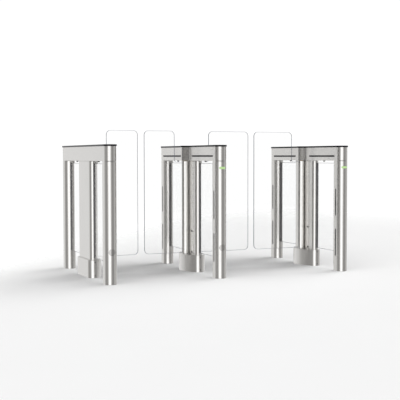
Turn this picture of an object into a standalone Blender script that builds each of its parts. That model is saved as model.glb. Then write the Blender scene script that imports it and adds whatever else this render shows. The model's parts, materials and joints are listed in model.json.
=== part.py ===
"""Optical turnstile: three slim pedestals, a narrow and a wide lane, four swinging glass wings.

World frame in metres: X runs across the lanes, Y along the pedestals, +Z up.
The origin lies on the floor, midway between the two outer pedestals.
"""

import math

import bmesh
import bpy

# Lanes and pedestals
NARROW_PITCH = 0.850
WIDE_PITCH = 1.050
PEDESTAL_LENGTH = 1.200
PEDESTAL_WIDTH = 0.088
OVERALL_HEIGHT = 0.990

# Shared clearances and cutting allowance
SEAT_GAP = 0.0003
CUT_OVERRUN = 0.010

# Segments in a half circle, in a bulge, in a large and a small full turn, and in a corner
HALF_ROUND_STEPS = 8
BULGE_STEPS = 8
TURN_STEPS = 18
SMALL_TURN_STEPS = 12
CORNER_STEPS = 4

# End columns
COLUMN_FLAT = 0.035
COLUMN_WALL = 0.002
FOOT_THICKNESS = 0.006
ANCHOR_HOLE_RADIUS = 0.006
ANCHOR_EDGE = 0.0295
CABLE_HOLE_RADIUS = 0.012

# Drive column, which carries the wings
DRIVE_LENGTH = 0.324
DRIVE_WALL = 0.003
BASE_PLATE_THICKNESS = 0.008
BASE_ANCHOR_EDGE = 0.040

# Plinth cover round the foot of the drive column
PLINTH_MARGIN = 0.016
PLINTH_POST_COVER = 0.0095
PLINTH_TOP = 0.133
PLINTH_WALL = 0.003

# Head beam and its lid
HEAD_HEIGHT = 0.119
HEAD_WALL = 0.003
HEAD_POST_COVER = 0.0075
HEAD_BULGE_HALF_LENGTH = 0.075
CABLE_SLOT_LENGTH = 0.060
CABLE_SLOT_WIDTH = 0.030
LID_THICKNESS = 0.012
LID_OVERHANG = 0.005
LID_ROUND = 0.0015
LID_LIP = 0.004
LID_LIP_WIDTH = 0.003

# Wing posts, which turn about the vertical joint axes
POST_RADIUS = 0.0245
POST_SIDE_GAP = 0.0015
POST_FOOT_GAP = 0.0035
POST_HEAD_GAP = 0.003
POST_CHAMFER = 0.001
SHAFT_RADIUS = 0.010
SHAFT_INTO_MOTOR = 0.025
SHAFT_BELOW_BOSS = 0.0013
SHOULDER_RADIUS = 0.020
SHOULDER_CLEARANCE = 0.0015
RUNNING_GAP = 0.0003

# Bearings of the posts
BEARING_WALL = 0.008
BEARING_FLANGE_REACH = 0.0045
BEARING_FLANGE = 0.0024
BRACKET_THICKNESS = 0.012
BRACKET_WALL = 0.0055
BRACKET_DROP = 0.0115
BOSS_WALL = 0.0045
BOSS_HEIGHT = 0.014

# Gear motors, hung under the brackets
MOTOR_STEP = 0.003
GEARBOX_HEIGHT = 0.050

# Glass wings
WING_THICKNESS = 0.010
WING_PLINTH_GAP = 0.009
WING_RISE = 0.116
WING_MEETING_GAP = 0.052
WING_SETBACK_GAP = 0.011
WING_PARKED_GAP = 0.001
WING_HEAD_CLEARANCE = 0.008
WING_CORNER = 0.035
WING_NOTCH_CORNER = 0.015
WING_HELD_CORNER = 0.003
WING_AXIS_INSET = 0.006

# Fixed glass infill panes
PANE_THICKNESS = 0.008
PANE_PLINTH_GAP = 0.017
PANE_HEAD_GAP = 0.018
PANE_ENTRY = 0.004
PANE_CORNER = 0.012

# Beam sensor windows and the bars behind them
COLUMN_SLOT_WIDTH = 0.015
HEAD_SLOT_WIDTH = 0.013
COLUMN_SLOT_LENGTH = 0.215
LOWER_SLOT_BOTTOM = 0.120
UPPER_SLOT_BOTTOM = 0.438
COLUMN_BAR_SIDE_GAP = 0.0055
COLUMN_BAR_MARGIN = 0.020
HEAD_SLOT_NOSE_GAP = 0.036
HEAD_SLOT_BULGE_GAP = 0.040
HEAD_BAR_BOSS_GAP = 0.0077
HEAD_BAR_WIDTH = 0.024
HEAD_BAR_MARGIN = 0.020
BAR_THICKNESS = 0.003
LENS_RECESS = 0.0003

# Nose fittings of the front columns
LIGHT_LENGTH = 0.050
LIGHT_WIDTH = 0.018
LIGHT_DROP = 0.051
CAP_DIAMETER = 0.049
CAP_HEIGHT = 0.230
NOSE_FLANGE_MARGIN = 0.003
NOSE_FLANGE = 0.002

# Places that follow from the sizes above
LANE_SPAN = NARROW_PITCH + WIDE_PITCH
PEDESTAL_X = {
    "left": -LANE_SPAN / 2,
    "centre": -LANE_SPAN / 2 + NARROW_PITCH,
    "right": LANE_SPAN / 2,
}
WING_SIDES = {"left": (1,), "centre": (-1, 1), "right": (-1,)}
HALF_WIDTH = PEDESTAL_WIDTH / 2
COLUMN_LENGTH = PEDESTAL_WIDTH + COLUMN_FLAT
COLUMN_Y = (PEDESTAL_LENGTH - COLUMN_LENGTH) / 2
NOSE_Y = PEDESTAL_LENGTH / 2 - HALF_WIDTH
ANCHOR_SPACING = COLUMN_LENGTH - 2 * ANCHOR_EDGE
BASE_ANCHOR_SPACING = DRIVE_LENGTH - 2 * BASE_ANCHOR_EDGE
COLUMN_BAR_WIDTH = COLUMN_FLAT - 2 * COLUMN_BAR_SIDE_GAP
COLUMN_SLOT_TOP = UPPER_SLOT_BOTTOM + COLUMN_SLOT_LENGTH

# The post stands off far enough for the open wing to lie beside the lid
POST_AXIS_OFFSET = HALF_WIDTH + LID_OVERHANG + WING_PARKED_GAP + WING_THICKNESS / 2
POST_COVER_EDGE = POST_AXIS_OFFSET + POST_RADIUS
DRIVE_HALF = POST_AXIS_OFFSET - POST_RADIUS - POST_SIDE_GAP
DRIVE_WIDTH = 2 * DRIVE_HALF
HEAD_BULGE = POST_COVER_EDGE + HEAD_POST_COVER - HALF_WIDTH
PLINTH_LENGTH = DRIVE_LENGTH + 2 * PLINTH_MARGIN
PLINTH_WIDTH = PEDESTAL_WIDTH
PLINTH_BULGE = POST_COVER_EDGE + PLINTH_POST_COVER - HALF_WIDTH
BEARING_RADIUS = SHAFT_RADIUS + BEARING_WALL
BEARING_FLANGE_RADIUS = BEARING_RADIUS + BEARING_FLANGE_REACH
BRACKET_RADIUS = BEARING_RADIUS + BRACKET_WALL
BOSS_RADIUS = BEARING_RADIUS + BOSS_WALL
GEARBOX_RADIUS = POST_RADIUS
MOTOR_RADIUS = GEARBOX_RADIUS - MOTOR_STEP

# Heights from the floor
HEAD_BOTTOM = OVERALL_HEIGHT - HEAD_HEIGHT
HEAD_TOP = OVERALL_HEIGHT - LID_THICKNESS
HEAD_FLOOR = HEAD_BOTTOM + SEAT_GAP
BOSS_TOP = HEAD_FLOOR + HEAD_WALL + BOSS_HEIGHT
POST_BOTTOM = PLINTH_TOP + POST_FOOT_GAP
POST_TOP = HEAD_BOTTOM - POST_HEAD_GAP
BRACKET_TOP = PLINTH_TOP - BRACKET_DROP
BRACKET_BOTTOM = BRACKET_TOP - BRACKET_THICKNESS
MOTOR_TOP = BRACKET_BOTTOM - SEAT_GAP
WING_BOTTOM = PLINTH_TOP + WING_PLINTH_GAP
WING_TOP = OVERALL_HEIGHT + WING_RISE
NOTCH_Z = HEAD_BOTTOM - WING_HEAD_CLEARANCE
PANE_BOTTOM = PLINTH_TOP + PANE_PLINTH_GAP
PANE_TOP = HEAD_BOTTOM - PANE_HEAD_GAP
LIGHT_HEIGHT = HEAD_BOTTOM - LIGHT_DROP
HEAD_SLOT_HEIGHT = BOSS_TOP + HEAD_BAR_BOSS_GAP + HEAD_BAR_WIDTH / 2

# Places along the pedestal, from its middle
WING_SETBACK = HEAD_BULGE_HALF_LENGTH + LID_OVERHANG + WING_SETBACK_GAP
HEAD_SLOT_INSET = HEAD_BULGE_HALF_LENGTH + HEAD_SLOT_BULGE_GAP
HEAD_SLOT_END = NOSE_Y - HEAD_SLOT_NOSE_GAP

# A faceted bore's flats, not its corners, clear the turning shaft
RUNNING_BORE = (SHAFT_RADIUS + RUNNING_GAP) / math.cos(math.pi / SMALL_TURN_STEPS)
QUARTER = math.pi / 2

# Turns that stand an outline up, facing along Y or along X
ALONG_Y = (QUARTER, 0, 0)
ALONG_X = (QUARTER, 0, QUARTER)


def new_collection(name):
    collection = bpy.data.collections.new(name)
    bpy.context.scene.collection.children.link(collection)
    return collection


def principled(name, colour, metallic, roughness, transmission=0.0, glow=0.0):
    """A plain Principled BSDF material with the part's own colour and finish."""
    material = bpy.data.materials.new(name)
    material.use_nodes = True
    shader = material.node_tree.nodes["Principled BSDF"]
    shader.inputs["Base Color"].default_value = (*colour, 1.0)
    shader.inputs["Metallic"].default_value = metallic
    shader.inputs["Roughness"].default_value = roughness
    shader.inputs["Transmission Weight"].default_value = transmission
    shader.inputs["Emission Color"].default_value = (*colour, 1.0)
    shader.inputs["Emission Strength"].default_value = glow
    return material


def empty_at(name, x):
    """A parent empty on the floor, standing at a pedestal's middle or on a joint's axis."""
    empty = bpy.data.objects.new(name, None)
    PARTS.objects.link(empty)
    empty.location = (x, 0, 0)
    return empty


def arc(centre_x, centre_y, radius, start, end, steps):
    """Points along a circular arc, both ends included."""
    points = []
    for step in range(steps + 1):
        angle = start + (end - start) * step / steps
        points.append((centre_x + radius * math.cos(angle), centre_y + radius * math.sin(angle)))
    return points


def without_repeats(points):
    """The outline without points that lie on the one before, or on the first."""
    kept = []
    for point in points:
        if not kept or math.dist(point, kept[-1]) > SEAT_GAP / 10:
            kept.append(point)
    if math.dist(kept[0], kept[-1]) <= SEAT_GAP / 10:
        kept.pop()
    return kept


def circle(centre_x, centre_y, radius, steps=TURN_STEPS):
    return arc(centre_x, centre_y, radius, 0, 2 * math.pi, steps)[:-1]


def stadium(length, width, offset=0, centre_y=0, steps=HALF_ROUND_STEPS):
    """A slot outline along Y with half-round ends, grown outwards by the offset."""
    radius = width / 2 + offset
    reach = (length - width) / 2
    upper = arc(0, centre_y + reach, radius, 0, math.pi, steps)
    lower = arc(0, centre_y - reach, radius, math.pi, 2 * math.pi, steps)
    return without_repeats(upper + lower)


def plinth_outline(sides, offset=0):
    """A stadium whose wing sides swell into a wide arc, tangent to both round ends."""
    radius = PLINTH_WIDTH / 2 + offset
    reach = (PLINTH_LENGTH - PLINTH_WIDTH) / 2
    rise = (reach ** 2 + PLINTH_BULGE ** 2) / (2 * PLINTH_BULGE)
    back = rise - PLINTH_BULGE
    tangent = math.atan2(reach, back)
    right = tangent if 1 in sides else 0
    left = tangent if -1 in sides else 0
    points = []
    if right:
        points += arc(-back, 0, rise + radius, -tangent, tangent, BULGE_STEPS)
    points += arc(0, reach, radius, right, math.pi - left, HALF_ROUND_STEPS)
    if left:
        points += arc(back, 0, rise + radius, math.pi - tangent, math.pi + tangent, BULGE_STEPS)
    points += arc(0, -reach, radius, math.pi + left, 2 * math.pi - right, HALF_ROUND_STEPS)
    return without_repeats(points)


def head_bulge(side, offset):
    """The smooth wave that the head's side makes round the top of a wing post."""
    half = HEAD_BULGE_HALF_LENGTH + offset
    points = []
    for step in range(BULGE_STEPS + 1):
        y = side * half * (2 * step / BULGE_STEPS - 1)
        rise = HEAD_BULGE / 2 * (1 + math.cos(math.pi * y / half))
        points.append((side * (HALF_WIDTH + offset + rise), y))
    return points


def head_outline(sides, offset=0):
    radius = HALF_WIDTH + offset
    points = []
    if 1 in sides:
        points += head_bulge(1, offset)
    points += arc(0, NOSE_Y, radius, 0, math.pi, HALF_ROUND_STEPS)
    if -1 in sides:
        points += head_bulge(-1, offset)
    points += arc(0, -NOSE_Y, radius, math.pi, 2 * math.pi, HALF_ROUND_STEPS)
    return without_repeats(points)


def rounded(corners):
    """An outline whose corners, given as (x, y, radius) anticlockwise, become arcs."""
    points = []
    for index, (x, y, radius) in enumerate(corners):
        before = corners[index - 1]
        after = corners[(index + 1) % len(corners)]
        into = math.atan2(y - before[1], x - before[0])
        out = math.atan2(after[1] - y, after[0] - x)
        turn = (out - into + math.pi) % (2 * math.pi) - math.pi
        setback = radius * math.tan(abs(turn) / 2)
        start_x = x - setback * math.cos(into)
        start_y = y - setback * math.sin(into)
        hand = math.copysign(1, turn)
        centre_x = start_x - hand * radius * math.sin(into)
        centre_y = start_y + hand * radius * math.cos(into)
        start = into - hand * QUARTER
        points += arc(centre_x, centre_y, radius, start, start + turn, CORNER_STEPS)
    return without_repeats(points)


def finish(obj, parent, material):
    """Gives a piece its parent and material, or hides it as a cutter when it has no material."""
    obj.parent = parent
    if material:
        obj.data.materials.append(material)
        PARTS.objects.link(obj)
        return obj
    CUTTERS.objects.link(obj)
    obj.hide_render = True
    obj.display_type = "WIRE"
    return obj


def prism(name, outlines, low, high, parent, material=None, turn=(0, 0, 0)):
    """A flat outline, with any holes, thickened from low to high along its own Z."""
    curve = bpy.data.curves.new(name, "CURVE")
    curve.dimensions = "2D"
    curve.fill_mode = "BOTH"
    curve.extrude = (high - low) / 2
    for outline in outlines:
        spline = curve.splines.new("POLY")
        spline.points.add(len(outline) - 1)
        for point, (x, y) in zip(spline.points, outline):
            point.co = (x, y, 0, 1)
        spline.use_cyclic_u = True
    guide = bpy.data.objects.new(name + "_guide", curve)
    bpy.context.scene.collection.objects.link(guide)
    graph = bpy.context.evaluated_depsgraph_get()
    mesh = bpy.data.meshes.new_from_object(guide.evaluated_get(graph))
    bpy.data.objects.remove(guide)
    bpy.data.curves.remove(curve)
    work = bmesh.new()
    work.from_mesh(mesh)
    bmesh.ops.remove_doubles(work, verts=work.verts, dist=SEAT_GAP / 100)
    bmesh.ops.translate(work, verts=work.verts, vec=(0, 0, (low + high) / 2))
    bmesh.ops.recalc_face_normals(work, faces=work.faces)
    work.to_mesh(mesh)
    work.free()
    mesh.name = name
    mesh.shade_smooth()
    mesh.set_sharp_from_angle(angle=math.radians(30))
    obj = bpy.data.objects.new(name, mesh)
    obj.rotation_euler = turn
    return finish(obj, parent, material)


def block(name, low, high, parent, material=None):
    """A box between two opposite corners."""
    mesh = bpy.data.meshes.new(name)
    work = bmesh.new()
    bmesh.ops.create_cube(work, size=1)
    size = [top - bottom for bottom, top in zip(low, high)]
    middle = [(top + bottom) / 2 for bottom, top in zip(low, high)]
    bmesh.ops.scale(work, verts=work.verts, vec=size)
    bmesh.ops.translate(work, verts=work.verts, vec=middle)
    work.to_mesh(mesh)
    work.free()
    return finish(bpy.data.objects.new(name, mesh), parent, material)


def turned(name, profile, parent, material, steps=TURN_STEPS, ring=False):
    """A body of revolution about Z. The profile runs down its outer side."""
    mesh = bpy.data.meshes.new(name)
    work = bmesh.new()
    verts = [work.verts.new((radius, 0, z)) for radius, z in profile]
    for first, second in zip(verts, verts[1:]):
        work.edges.new((first, second))
    if ring:
        work.edges.new((verts[-1], verts[0]))
    work.to_mesh(mesh)
    work.free()
    obj = finish(bpy.data.objects.new(name, mesh), parent, material)
    screw = obj.modifiers.new("Turn", "SCREW")
    screw.steps = steps
    screw.render_steps = steps
    screw.use_merge_vertices = True
    screw.merge_threshold = SEAT_GAP / 100
    screw.use_smooth_shade = True
    return obj


def combine(obj, tool, operation="DIFFERENCE"):
    modifier = obj.modifiers.new(operation.title() + " " + tool.name, "BOOLEAN")
    modifier.operation = operation
    modifier.object = tool
    return obj


def place(obj, x=0, y=0, z=0):
    obj.location = (x, y, z)
    return obj


def slot_outline(low_y, high_y, low_z, high_z, offset=0):
    """A round-ended window outline in (y, z), long in whichever way it is longer."""
    long_z = high_z - low_z > high_y - low_y
    radius = min(high_y - low_y, high_z - low_z) / 2 + offset
    if long_z:
        middle = (low_y + high_y) / 2
        reach = (high_z - low_z) / 2 - radius + offset
        centre = (low_z + high_z) / 2
        points = arc(middle, centre + reach, radius, 0, math.pi, CORNER_STEPS)
        points += arc(middle, centre - reach, radius, math.pi, 2 * math.pi, CORNER_STEPS)
        return without_repeats(points)
    middle = (low_z + high_z) / 2
    reach = (high_y - low_y) / 2 - radius + offset
    centre = (low_y + high_y) / 2
    points = arc(centre + reach, middle, radius, -QUARTER, QUARTER, CORNER_STEPS)
    points += arc(centre - reach, middle, radius, QUARTER, 3 * QUARTER, CORNER_STEPS)
    return without_repeats(points)


def side_span(side, near, far):
    """The low and high X of a piece that reaches from near to far on one side."""
    return min(side * near, side * far), max(side * near, side * far)


def sensor_bar(name, side, wall, plate, windows, parent):
    """A carrier bar behind a wall, whose raised lenses fill the wall's windows."""
    back = HALF_WIDTH - wall - SEAT_GAP
    low, high = side_span(side, back - BAR_THICKNESS, back)
    bar = block(name, (low, plate[0], plate[2]), (high, plate[1], plate[3]), parent, LENS_BLACK)
    low, high = side_span(side, back - BAR_THICKNESS / 2, HALF_WIDTH - LENS_RECESS)
    for number, window in enumerate(windows):
        outline = slot_outline(*window, offset=-SEAT_GAP)
        lens = prism(f"{name}_lens_{number}", [outline], low, high, parent, turn=ALONG_X)
        combine(bar, lens, "UNION")
    return bar


def cut_windows(obj, name, side, wall, windows, parent):
    low, high = side_span(side, HALF_WIDTH - wall - CUT_OVERRUN / 2, HALF_WIDTH + CUT_OVERRUN)
    for number, window in enumerate(windows):
        outline = slot_outline(*window)
        tool = prism(f"{name}_window_{side}_{number}", [outline], low, high, parent, turn=ALONG_X)
        combine(obj, tool)


def pane_groove(obj, name, nose, inwards, parent):
    """The slit in a column's round end that takes the edge of an infill pane."""
    near = nose - inwards * CUT_OVERRUN
    far = nose + inwards * (PANE_ENTRY + SEAT_GAP)
    half = PANE_THICKNESS / 2 + SEAT_GAP
    low = (-half, min(near, far), PANE_BOTTOM - SEAT_GAP)
    high = (half, max(near, far), PANE_TOP + SEAT_GAP)
    combine(obj, block(name, low, high, parent))


def end_column(pedestal, place_name, end, parent):
    """A tube of stadium section on its welded foot plate, slit for the pane and its sensors."""
    name = f"{pedestal}_{place_name}_column"
    middle = end * COLUMN_Y
    outer = stadium(COLUMN_LENGTH, PEDESTAL_WIDTH, centre_y=middle)
    column = prism(name, [outer], 0, HEAD_BOTTOM, parent, STEEL)
    inner = stadium(COLUMN_LENGTH, PEDESTAL_WIDTH, -COLUMN_WALL, centre_y=middle)
    top = HEAD_BOTTOM + CUT_OVERRUN
    combine(column, prism(name + "_bore", [inner], FOOT_THICKNESS, top, parent))
    holes = [circle(0, middle, CABLE_HOLE_RADIUS, SMALL_TURN_STEPS)]
    for sign in (-1, 1):
        hole_y = middle + sign * ANCHOR_SPACING / 2
        holes.append(circle(0, hole_y, ANCHOR_HOLE_RADIUS, SMALL_TURN_STEPS))
    foot = FOOT_THICKNESS + CUT_OVERRUN
    combine(column, prism(name + "_foot_holes", holes, -CUT_OVERRUN, foot, parent))
    pane_groove(column, name + "_groove", end * (COLUMN_Y - COLUMN_LENGTH / 2), end, parent)
    half = COLUMN_SLOT_WIDTH / 2
    windows = []
    for low in (LOWER_SLOT_BOTTOM, UPPER_SLOT_BOTTOM):
        windows.append((middle - half, middle + half, low, low + COLUMN_SLOT_LENGTH))
    bar_half = COLUMN_BAR_WIDTH / 2
    bar_low = LOWER_SLOT_BOTTOM - COLUMN_BAR_MARGIN
    bar_high = COLUMN_SLOT_TOP + COLUMN_BAR_MARGIN
    plate = (middle - bar_half, middle + bar_half, bar_low, bar_high)
    for side in WING_SIDES[pedestal]:
        cut_windows(column, name, side, COLUMN_WALL, windows, parent)
        hand = "right" if side > 0 else "left"
        bar_name = f"{pedestal}_{place_name}_sensor_bar_{hand}"
        sensor_bar(bar_name, side, COLUMN_WALL, plate, windows, parent)
    return column


def drive_column(pedestal, parent):
    """The middle column with its base plate and the brackets that carry posts and motors."""
    name = f"{pedestal}_drive_column"
    outer = stadium(DRIVE_LENGTH, DRIVE_WIDTH)
    column = prism(name, [outer], 0, HEAD_BOTTOM, parent, STEEL)
    rim = plinth_outline(WING_SIDES[pedestal], -PLINTH_WALL - SEAT_GAP)
    combine(column, prism(name + "_base", [rim], 0, BASE_PLATE_THICKNESS, parent), "UNION")
    for side in WING_SIDES[pedestal]:
        axis = side * POST_AXIS_OFFSET
        start = QUARTER if side < 0 else -QUARTER
        tongue = arc(axis, 0, BRACKET_RADIUS, start, start + math.pi, HALF_ROUND_STEPS)
        root = side * (DRIVE_HALF - DRIVE_WALL / 2)
        tongue += [(root, side * BRACKET_RADIUS), (root, -side * BRACKET_RADIUS)]
        plate = prism(f"{name}_bracket_{side}", [tongue], BRACKET_BOTTOM, BRACKET_TOP, parent)
        combine(column, plate, "UNION")
        seat = [circle(axis, 0, BEARING_RADIUS + SEAT_GAP, SMALL_TURN_STEPS)]
        low = BRACKET_BOTTOM - SEAT_GAP
        high = BRACKET_TOP + CUT_OVERRUN
        combine(column, prism(f"{name}_seat_{side}", seat, low, high, parent))
    inner = stadium(DRIVE_LENGTH, DRIVE_WIDTH, -DRIVE_WALL)
    top = HEAD_BOTTOM + CUT_OVERRUN
    combine(column, prism(name + "_bore", [inner], BASE_PLATE_THICKNESS, top, parent))
    holes = [circle(0, 0, CABLE_HOLE_RADIUS, SMALL_TURN_STEPS)]
    for sign in (-1, 1):
        hole_y = sign * BASE_ANCHOR_SPACING / 2
        holes.append(circle(0, hole_y, ANCHOR_HOLE_RADIUS, SMALL_TURN_STEPS))
    foot = BASE_PLATE_THICKNESS + CUT_OVERRUN
    combine(column, prism(name + "_foot_holes", holes, -CUT_OVERRUN, foot, parent))
    for end in (-1, 1):
        pane_groove(column, f"{name}_groove_{end}", end * DRIVE_LENGTH / 2, -end, parent)
    return column


def plinth_cover(pedestal, parent):
    """The sheet cover round the drive column's foot, open below."""
    name = f"{pedestal}_plinth_cover"
    sides = WING_SIDES[pedestal]
    cover = prism(name, [plinth_outline(sides)], 0, PLINTH_TOP, parent, STEEL)
    inner = plinth_outline(sides, -PLINTH_WALL)
    ceiling = PLINTH_TOP - PLINTH_WALL
    combine(cover, prism(name + "_hollow", [inner], -CUT_OVERRUN, ceiling, parent))
    holes = [stadium(DRIVE_LENGTH, DRIVE_WIDTH, SEAT_GAP)]
    tall = PLINTH_TOP + CUT_OVERRUN
    combine(cover, prism(name + "_column_hole", holes, PLINTH_TOP / 2, tall, parent))
    for side in sides:
        hole_radius = SHOULDER_RADIUS + SHOULDER_CLEARANCE
        holes = [circle(side * POST_AXIS_OFFSET, 0, hole_radius, SMALL_TURN_STEPS)]
        combine(cover, prism(f"{name}_post_hole_{side}", holes, PLINTH_TOP / 2, tall, parent))
    return cover


def head_beam(pedestal, parent):
    """The tray along the top: a floor on the columns, side walls, and a boss for each post."""
    name = f"{pedestal}_head_beam"
    sides = WING_SIDES[pedestal]
    beam = prism(name, [head_outline(sides)], HEAD_FLOOR, HEAD_TOP - SEAT_GAP, parent, STEEL)
    windows = []
    for end in (-1, 1):
        near, far = sorted((end * HEAD_SLOT_INSET, end * HEAD_SLOT_END))
        half = HEAD_SLOT_WIDTH / 2
        windows.append((near, far, HEAD_SLOT_HEIGHT - half, HEAD_SLOT_HEIGHT + half))
    reach = HEAD_SLOT_END + HEAD_BAR_MARGIN
    bar_half = HEAD_BAR_WIDTH / 2
    plate = (-reach, reach, HEAD_SLOT_HEIGHT - bar_half, HEAD_SLOT_HEIGHT + bar_half)
    for side in sides:
        cut_windows(beam, name, side, HEAD_WALL, windows, parent)
        hand = "right" if side > 0 else "left"
        bar_name = f"{pedestal}_head_sensor_bar_{hand}"
        sensor_bar(bar_name, side, HEAD_WALL, plate, windows, parent)
    inner = head_outline(sides, -HEAD_WALL)
    floor = HEAD_FLOOR + HEAD_WALL
    combine(beam, prism(name + "_hollow", [inner], floor, HEAD_TOP + CUT_OVERRUN, parent))
    holes = []
    for side in sides:
        axis = side * POST_AXIS_OFFSET
        boss = [circle(axis, 0, BOSS_RADIUS, SMALL_TURN_STEPS)]
        root = HEAD_FLOOR + HEAD_WALL / 2
        combine(beam, prism(f"{name}_boss_{side}", boss, root, BOSS_TOP, parent), "UNION")
        holes.append(circle(axis, 0, BEARING_RADIUS + SEAT_GAP, SMALL_TURN_STEPS))
    for middle in (-COLUMN_Y, 0, COLUMN_Y):
        slot = stadium(CABLE_SLOT_LENGTH, CABLE_SLOT_WIDTH, 0, middle, CORNER_STEPS)
        holes.append(slot)
    low = HEAD_FLOOR - CUT_OVERRUN
    return combine(beam, prism(name + "_holes", holes, low, BOSS_TOP + CUT_OVERRUN, parent))


def top_lid(pedestal, parent):
    """The glossy lid with its small overhang and the lip that drops inside the head's walls."""
    name = f"{pedestal}_top_lid"
    sides = WING_SIDES[pedestal]
    rim = head_outline(sides, LID_OVERHANG)
    lid = prism(name, [rim], HEAD_TOP, OVERALL_HEIGHT, parent, GLOSS_BLACK)
    edge = lid.modifiers.new("Rounded edge", "BEVEL")
    edge.width = LID_ROUND
    edge.segments = 1
    edge.limit_method = "ANGLE"
    edge.angle_limit = math.radians(60)
    outer = head_outline(sides, -HEAD_WALL - SEAT_GAP)
    inner = head_outline(sides, -HEAD_WALL - LID_LIP_WIDTH)
    lip = prism(name + "_lip", [outer, inner], HEAD_TOP - LID_LIP, HEAD_TOP + LID_ROUND, parent)
    return combine(lid, lip, "UNION")


def infill_pane(pedestal, place_name, end, parent):
    """A clear fixed pane between the drive column's nose and an end column's inner one."""
    near = DRIVE_LENGTH / 2 - PANE_ENTRY
    far = COLUMN_Y - COLUMN_LENGTH / 2 + PANE_ENTRY
    low, high = sorted((end * near, end * far))
    corners = [
        (low, PANE_BOTTOM, PANE_CORNER),
        (high, PANE_BOTTOM, PANE_CORNER),
        (high, PANE_TOP, PANE_CORNER),
        (low, PANE_TOP, PANE_CORNER),
    ]
    half = PANE_THICKNESS / 2
    name = f"{pedestal}_{place_name}_infill_pane"
    return prism(name, [rounded(corners)], -half, half, parent, GLASS, ALONG_X)


def nose_fitting(name, outline_of, height, parent, material, column):
    """A curved insert flush in the front column's nose, with a flange inside the wall."""
    reach = PEDESTAL_LENGTH / 2 + CUT_OVERRUN
    outer = HALF_WIDTH - LENS_RECESS
    inner = HALF_WIDTH - COLUMN_WALL - SEAT_GAP
    low, high = height - PEDESTAL_WIDTH, height + PEDESTAL_WIDTH
    steps = 2 * HALF_ROUND_STEPS
    hollow = circle(0, -NOSE_Y, inner - NOSE_FLANGE, steps)
    shell = [circle(0, -NOSE_Y, outer, steps), hollow]
    piece = prism(name, shell, low, high, parent, material)
    outline = outline_of(-SEAT_GAP)
    window = prism(name + "_form", [outline], NOSE_Y, reach, parent, turn=ALONG_Y)
    combine(piece, place(window, z=height), "INTERSECT")
    band = [circle(0, -NOSE_Y, inner, steps), hollow]
    flange = prism(name + "_flange", band, low, high, parent)
    wide = prism(name + "_flange_form", [outline_of(NOSE_FLANGE_MARGIN)], NOSE_Y, reach, parent,
                 turn=ALONG_Y)
    combine(flange, place(wide, z=height), "INTERSECT")
    combine(piece, flange, "UNION")
    opening = prism(name + "_window", [outline_of(0)], NOSE_Y, reach, parent, turn=ALONG_Y)
    combine(column, place(opening, z=height))
    return piece


def light_outline(offset):
    half = LIGHT_LENGTH / 2
    return slot_outline(-half, half, -LIGHT_WIDTH / 2, LIGHT_WIDTH / 2, offset)


def cap_outline(offset):
    return circle(0, 0, CAP_DIAMETER / 2 + offset)


def pedestal(name):
    parent = empty_at(f"{name}_pedestal", PEDESTAL_X[name])
    front = end_column(name, "front", -1, parent)
    end_column(name, "rear", 1, parent)
    drive_column(name, parent)
    plinth_cover(name, parent)
    head_beam(name, parent)
    top_lid(name, parent)
    infill_pane(name, "front", -1, parent)
    infill_pane(name, "rear", 1, parent)
    if name != "left":
        label = f"{name}_status_light"
        nose_fitting(label, light_outline, LIGHT_HEIGHT, parent, LIGHT_GREEN, front)
    if name != "right":
        nose_fitting(f"{name}_nose_cap", cap_outline, CAP_HEIGHT, parent, CAP_GREY, front)


def wing_post(name, side, parent):
    """The turning post: shaft, shoulder, round bar with a slit for the glass, upper shaft."""
    shoulder = BRACKET_TOP + BEARING_FLANGE + 2 * SEAT_GAP
    profile = [
        (0, BOSS_TOP - SHAFT_BELOW_BOSS),
        (SHAFT_RADIUS, BOSS_TOP - SHAFT_BELOW_BOSS),
        (SHAFT_RADIUS, POST_TOP),
        (POST_RADIUS - POST_CHAMFER, POST_TOP),
        (POST_RADIUS, POST_TOP - POST_CHAMFER),
        (POST_RADIUS, POST_BOTTOM + POST_CHAMFER),
        (POST_RADIUS - POST_CHAMFER, POST_BOTTOM),
        (SHOULDER_RADIUS, POST_BOTTOM),
        (SHOULDER_RADIUS, shoulder),
        (SHAFT_RADIUS, shoulder),
        (SHAFT_RADIUS, MOTOR_TOP - SHAFT_INTO_MOTOR),
        (0, MOTOR_TOP - SHAFT_INTO_MOTOR),
    ]
    post = turned(name, profile, parent, STEEL)
    half = WING_THICKNESS / 2 + SEAT_GAP
    low_x, high_x = side_span(side, WING_AXIS_INSET - SEAT_GAP, POST_RADIUS + CUT_OVERRUN)
    low = (low_x, -half, WING_BOTTOM - SEAT_GAP)
    high = (high_x, half, NOTCH_Z + SEAT_GAP)
    return combine(post, block(name + "_slit", low, high, parent))


def wing_pane(name, side, reach, parent):
    """The notched glass leaf: its lower part meets the post, its upper part clears the head."""
    corners = [
        (WING_AXIS_INSET, WING_BOTTOM, WING_HELD_CORNER),
        (reach, WING_BOTTOM, WING_CORNER),
        (reach, WING_TOP, WING_CORNER),
        (WING_SETBACK, WING_TOP, WING_CORNER),
        (WING_SETBACK, NOTCH_Z, WING_NOTCH_CORNER),
        (WING_AXIS_INSET, NOTCH_Z, WING_HELD_CORNER),
    ]
    outline = [(side * x, z) for x, z in rounded(corners)]
    half = WING_THICKNESS / 2
    return prism(name, [outline], -half, half, parent, GLASS, ALONG_Y)


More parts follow.
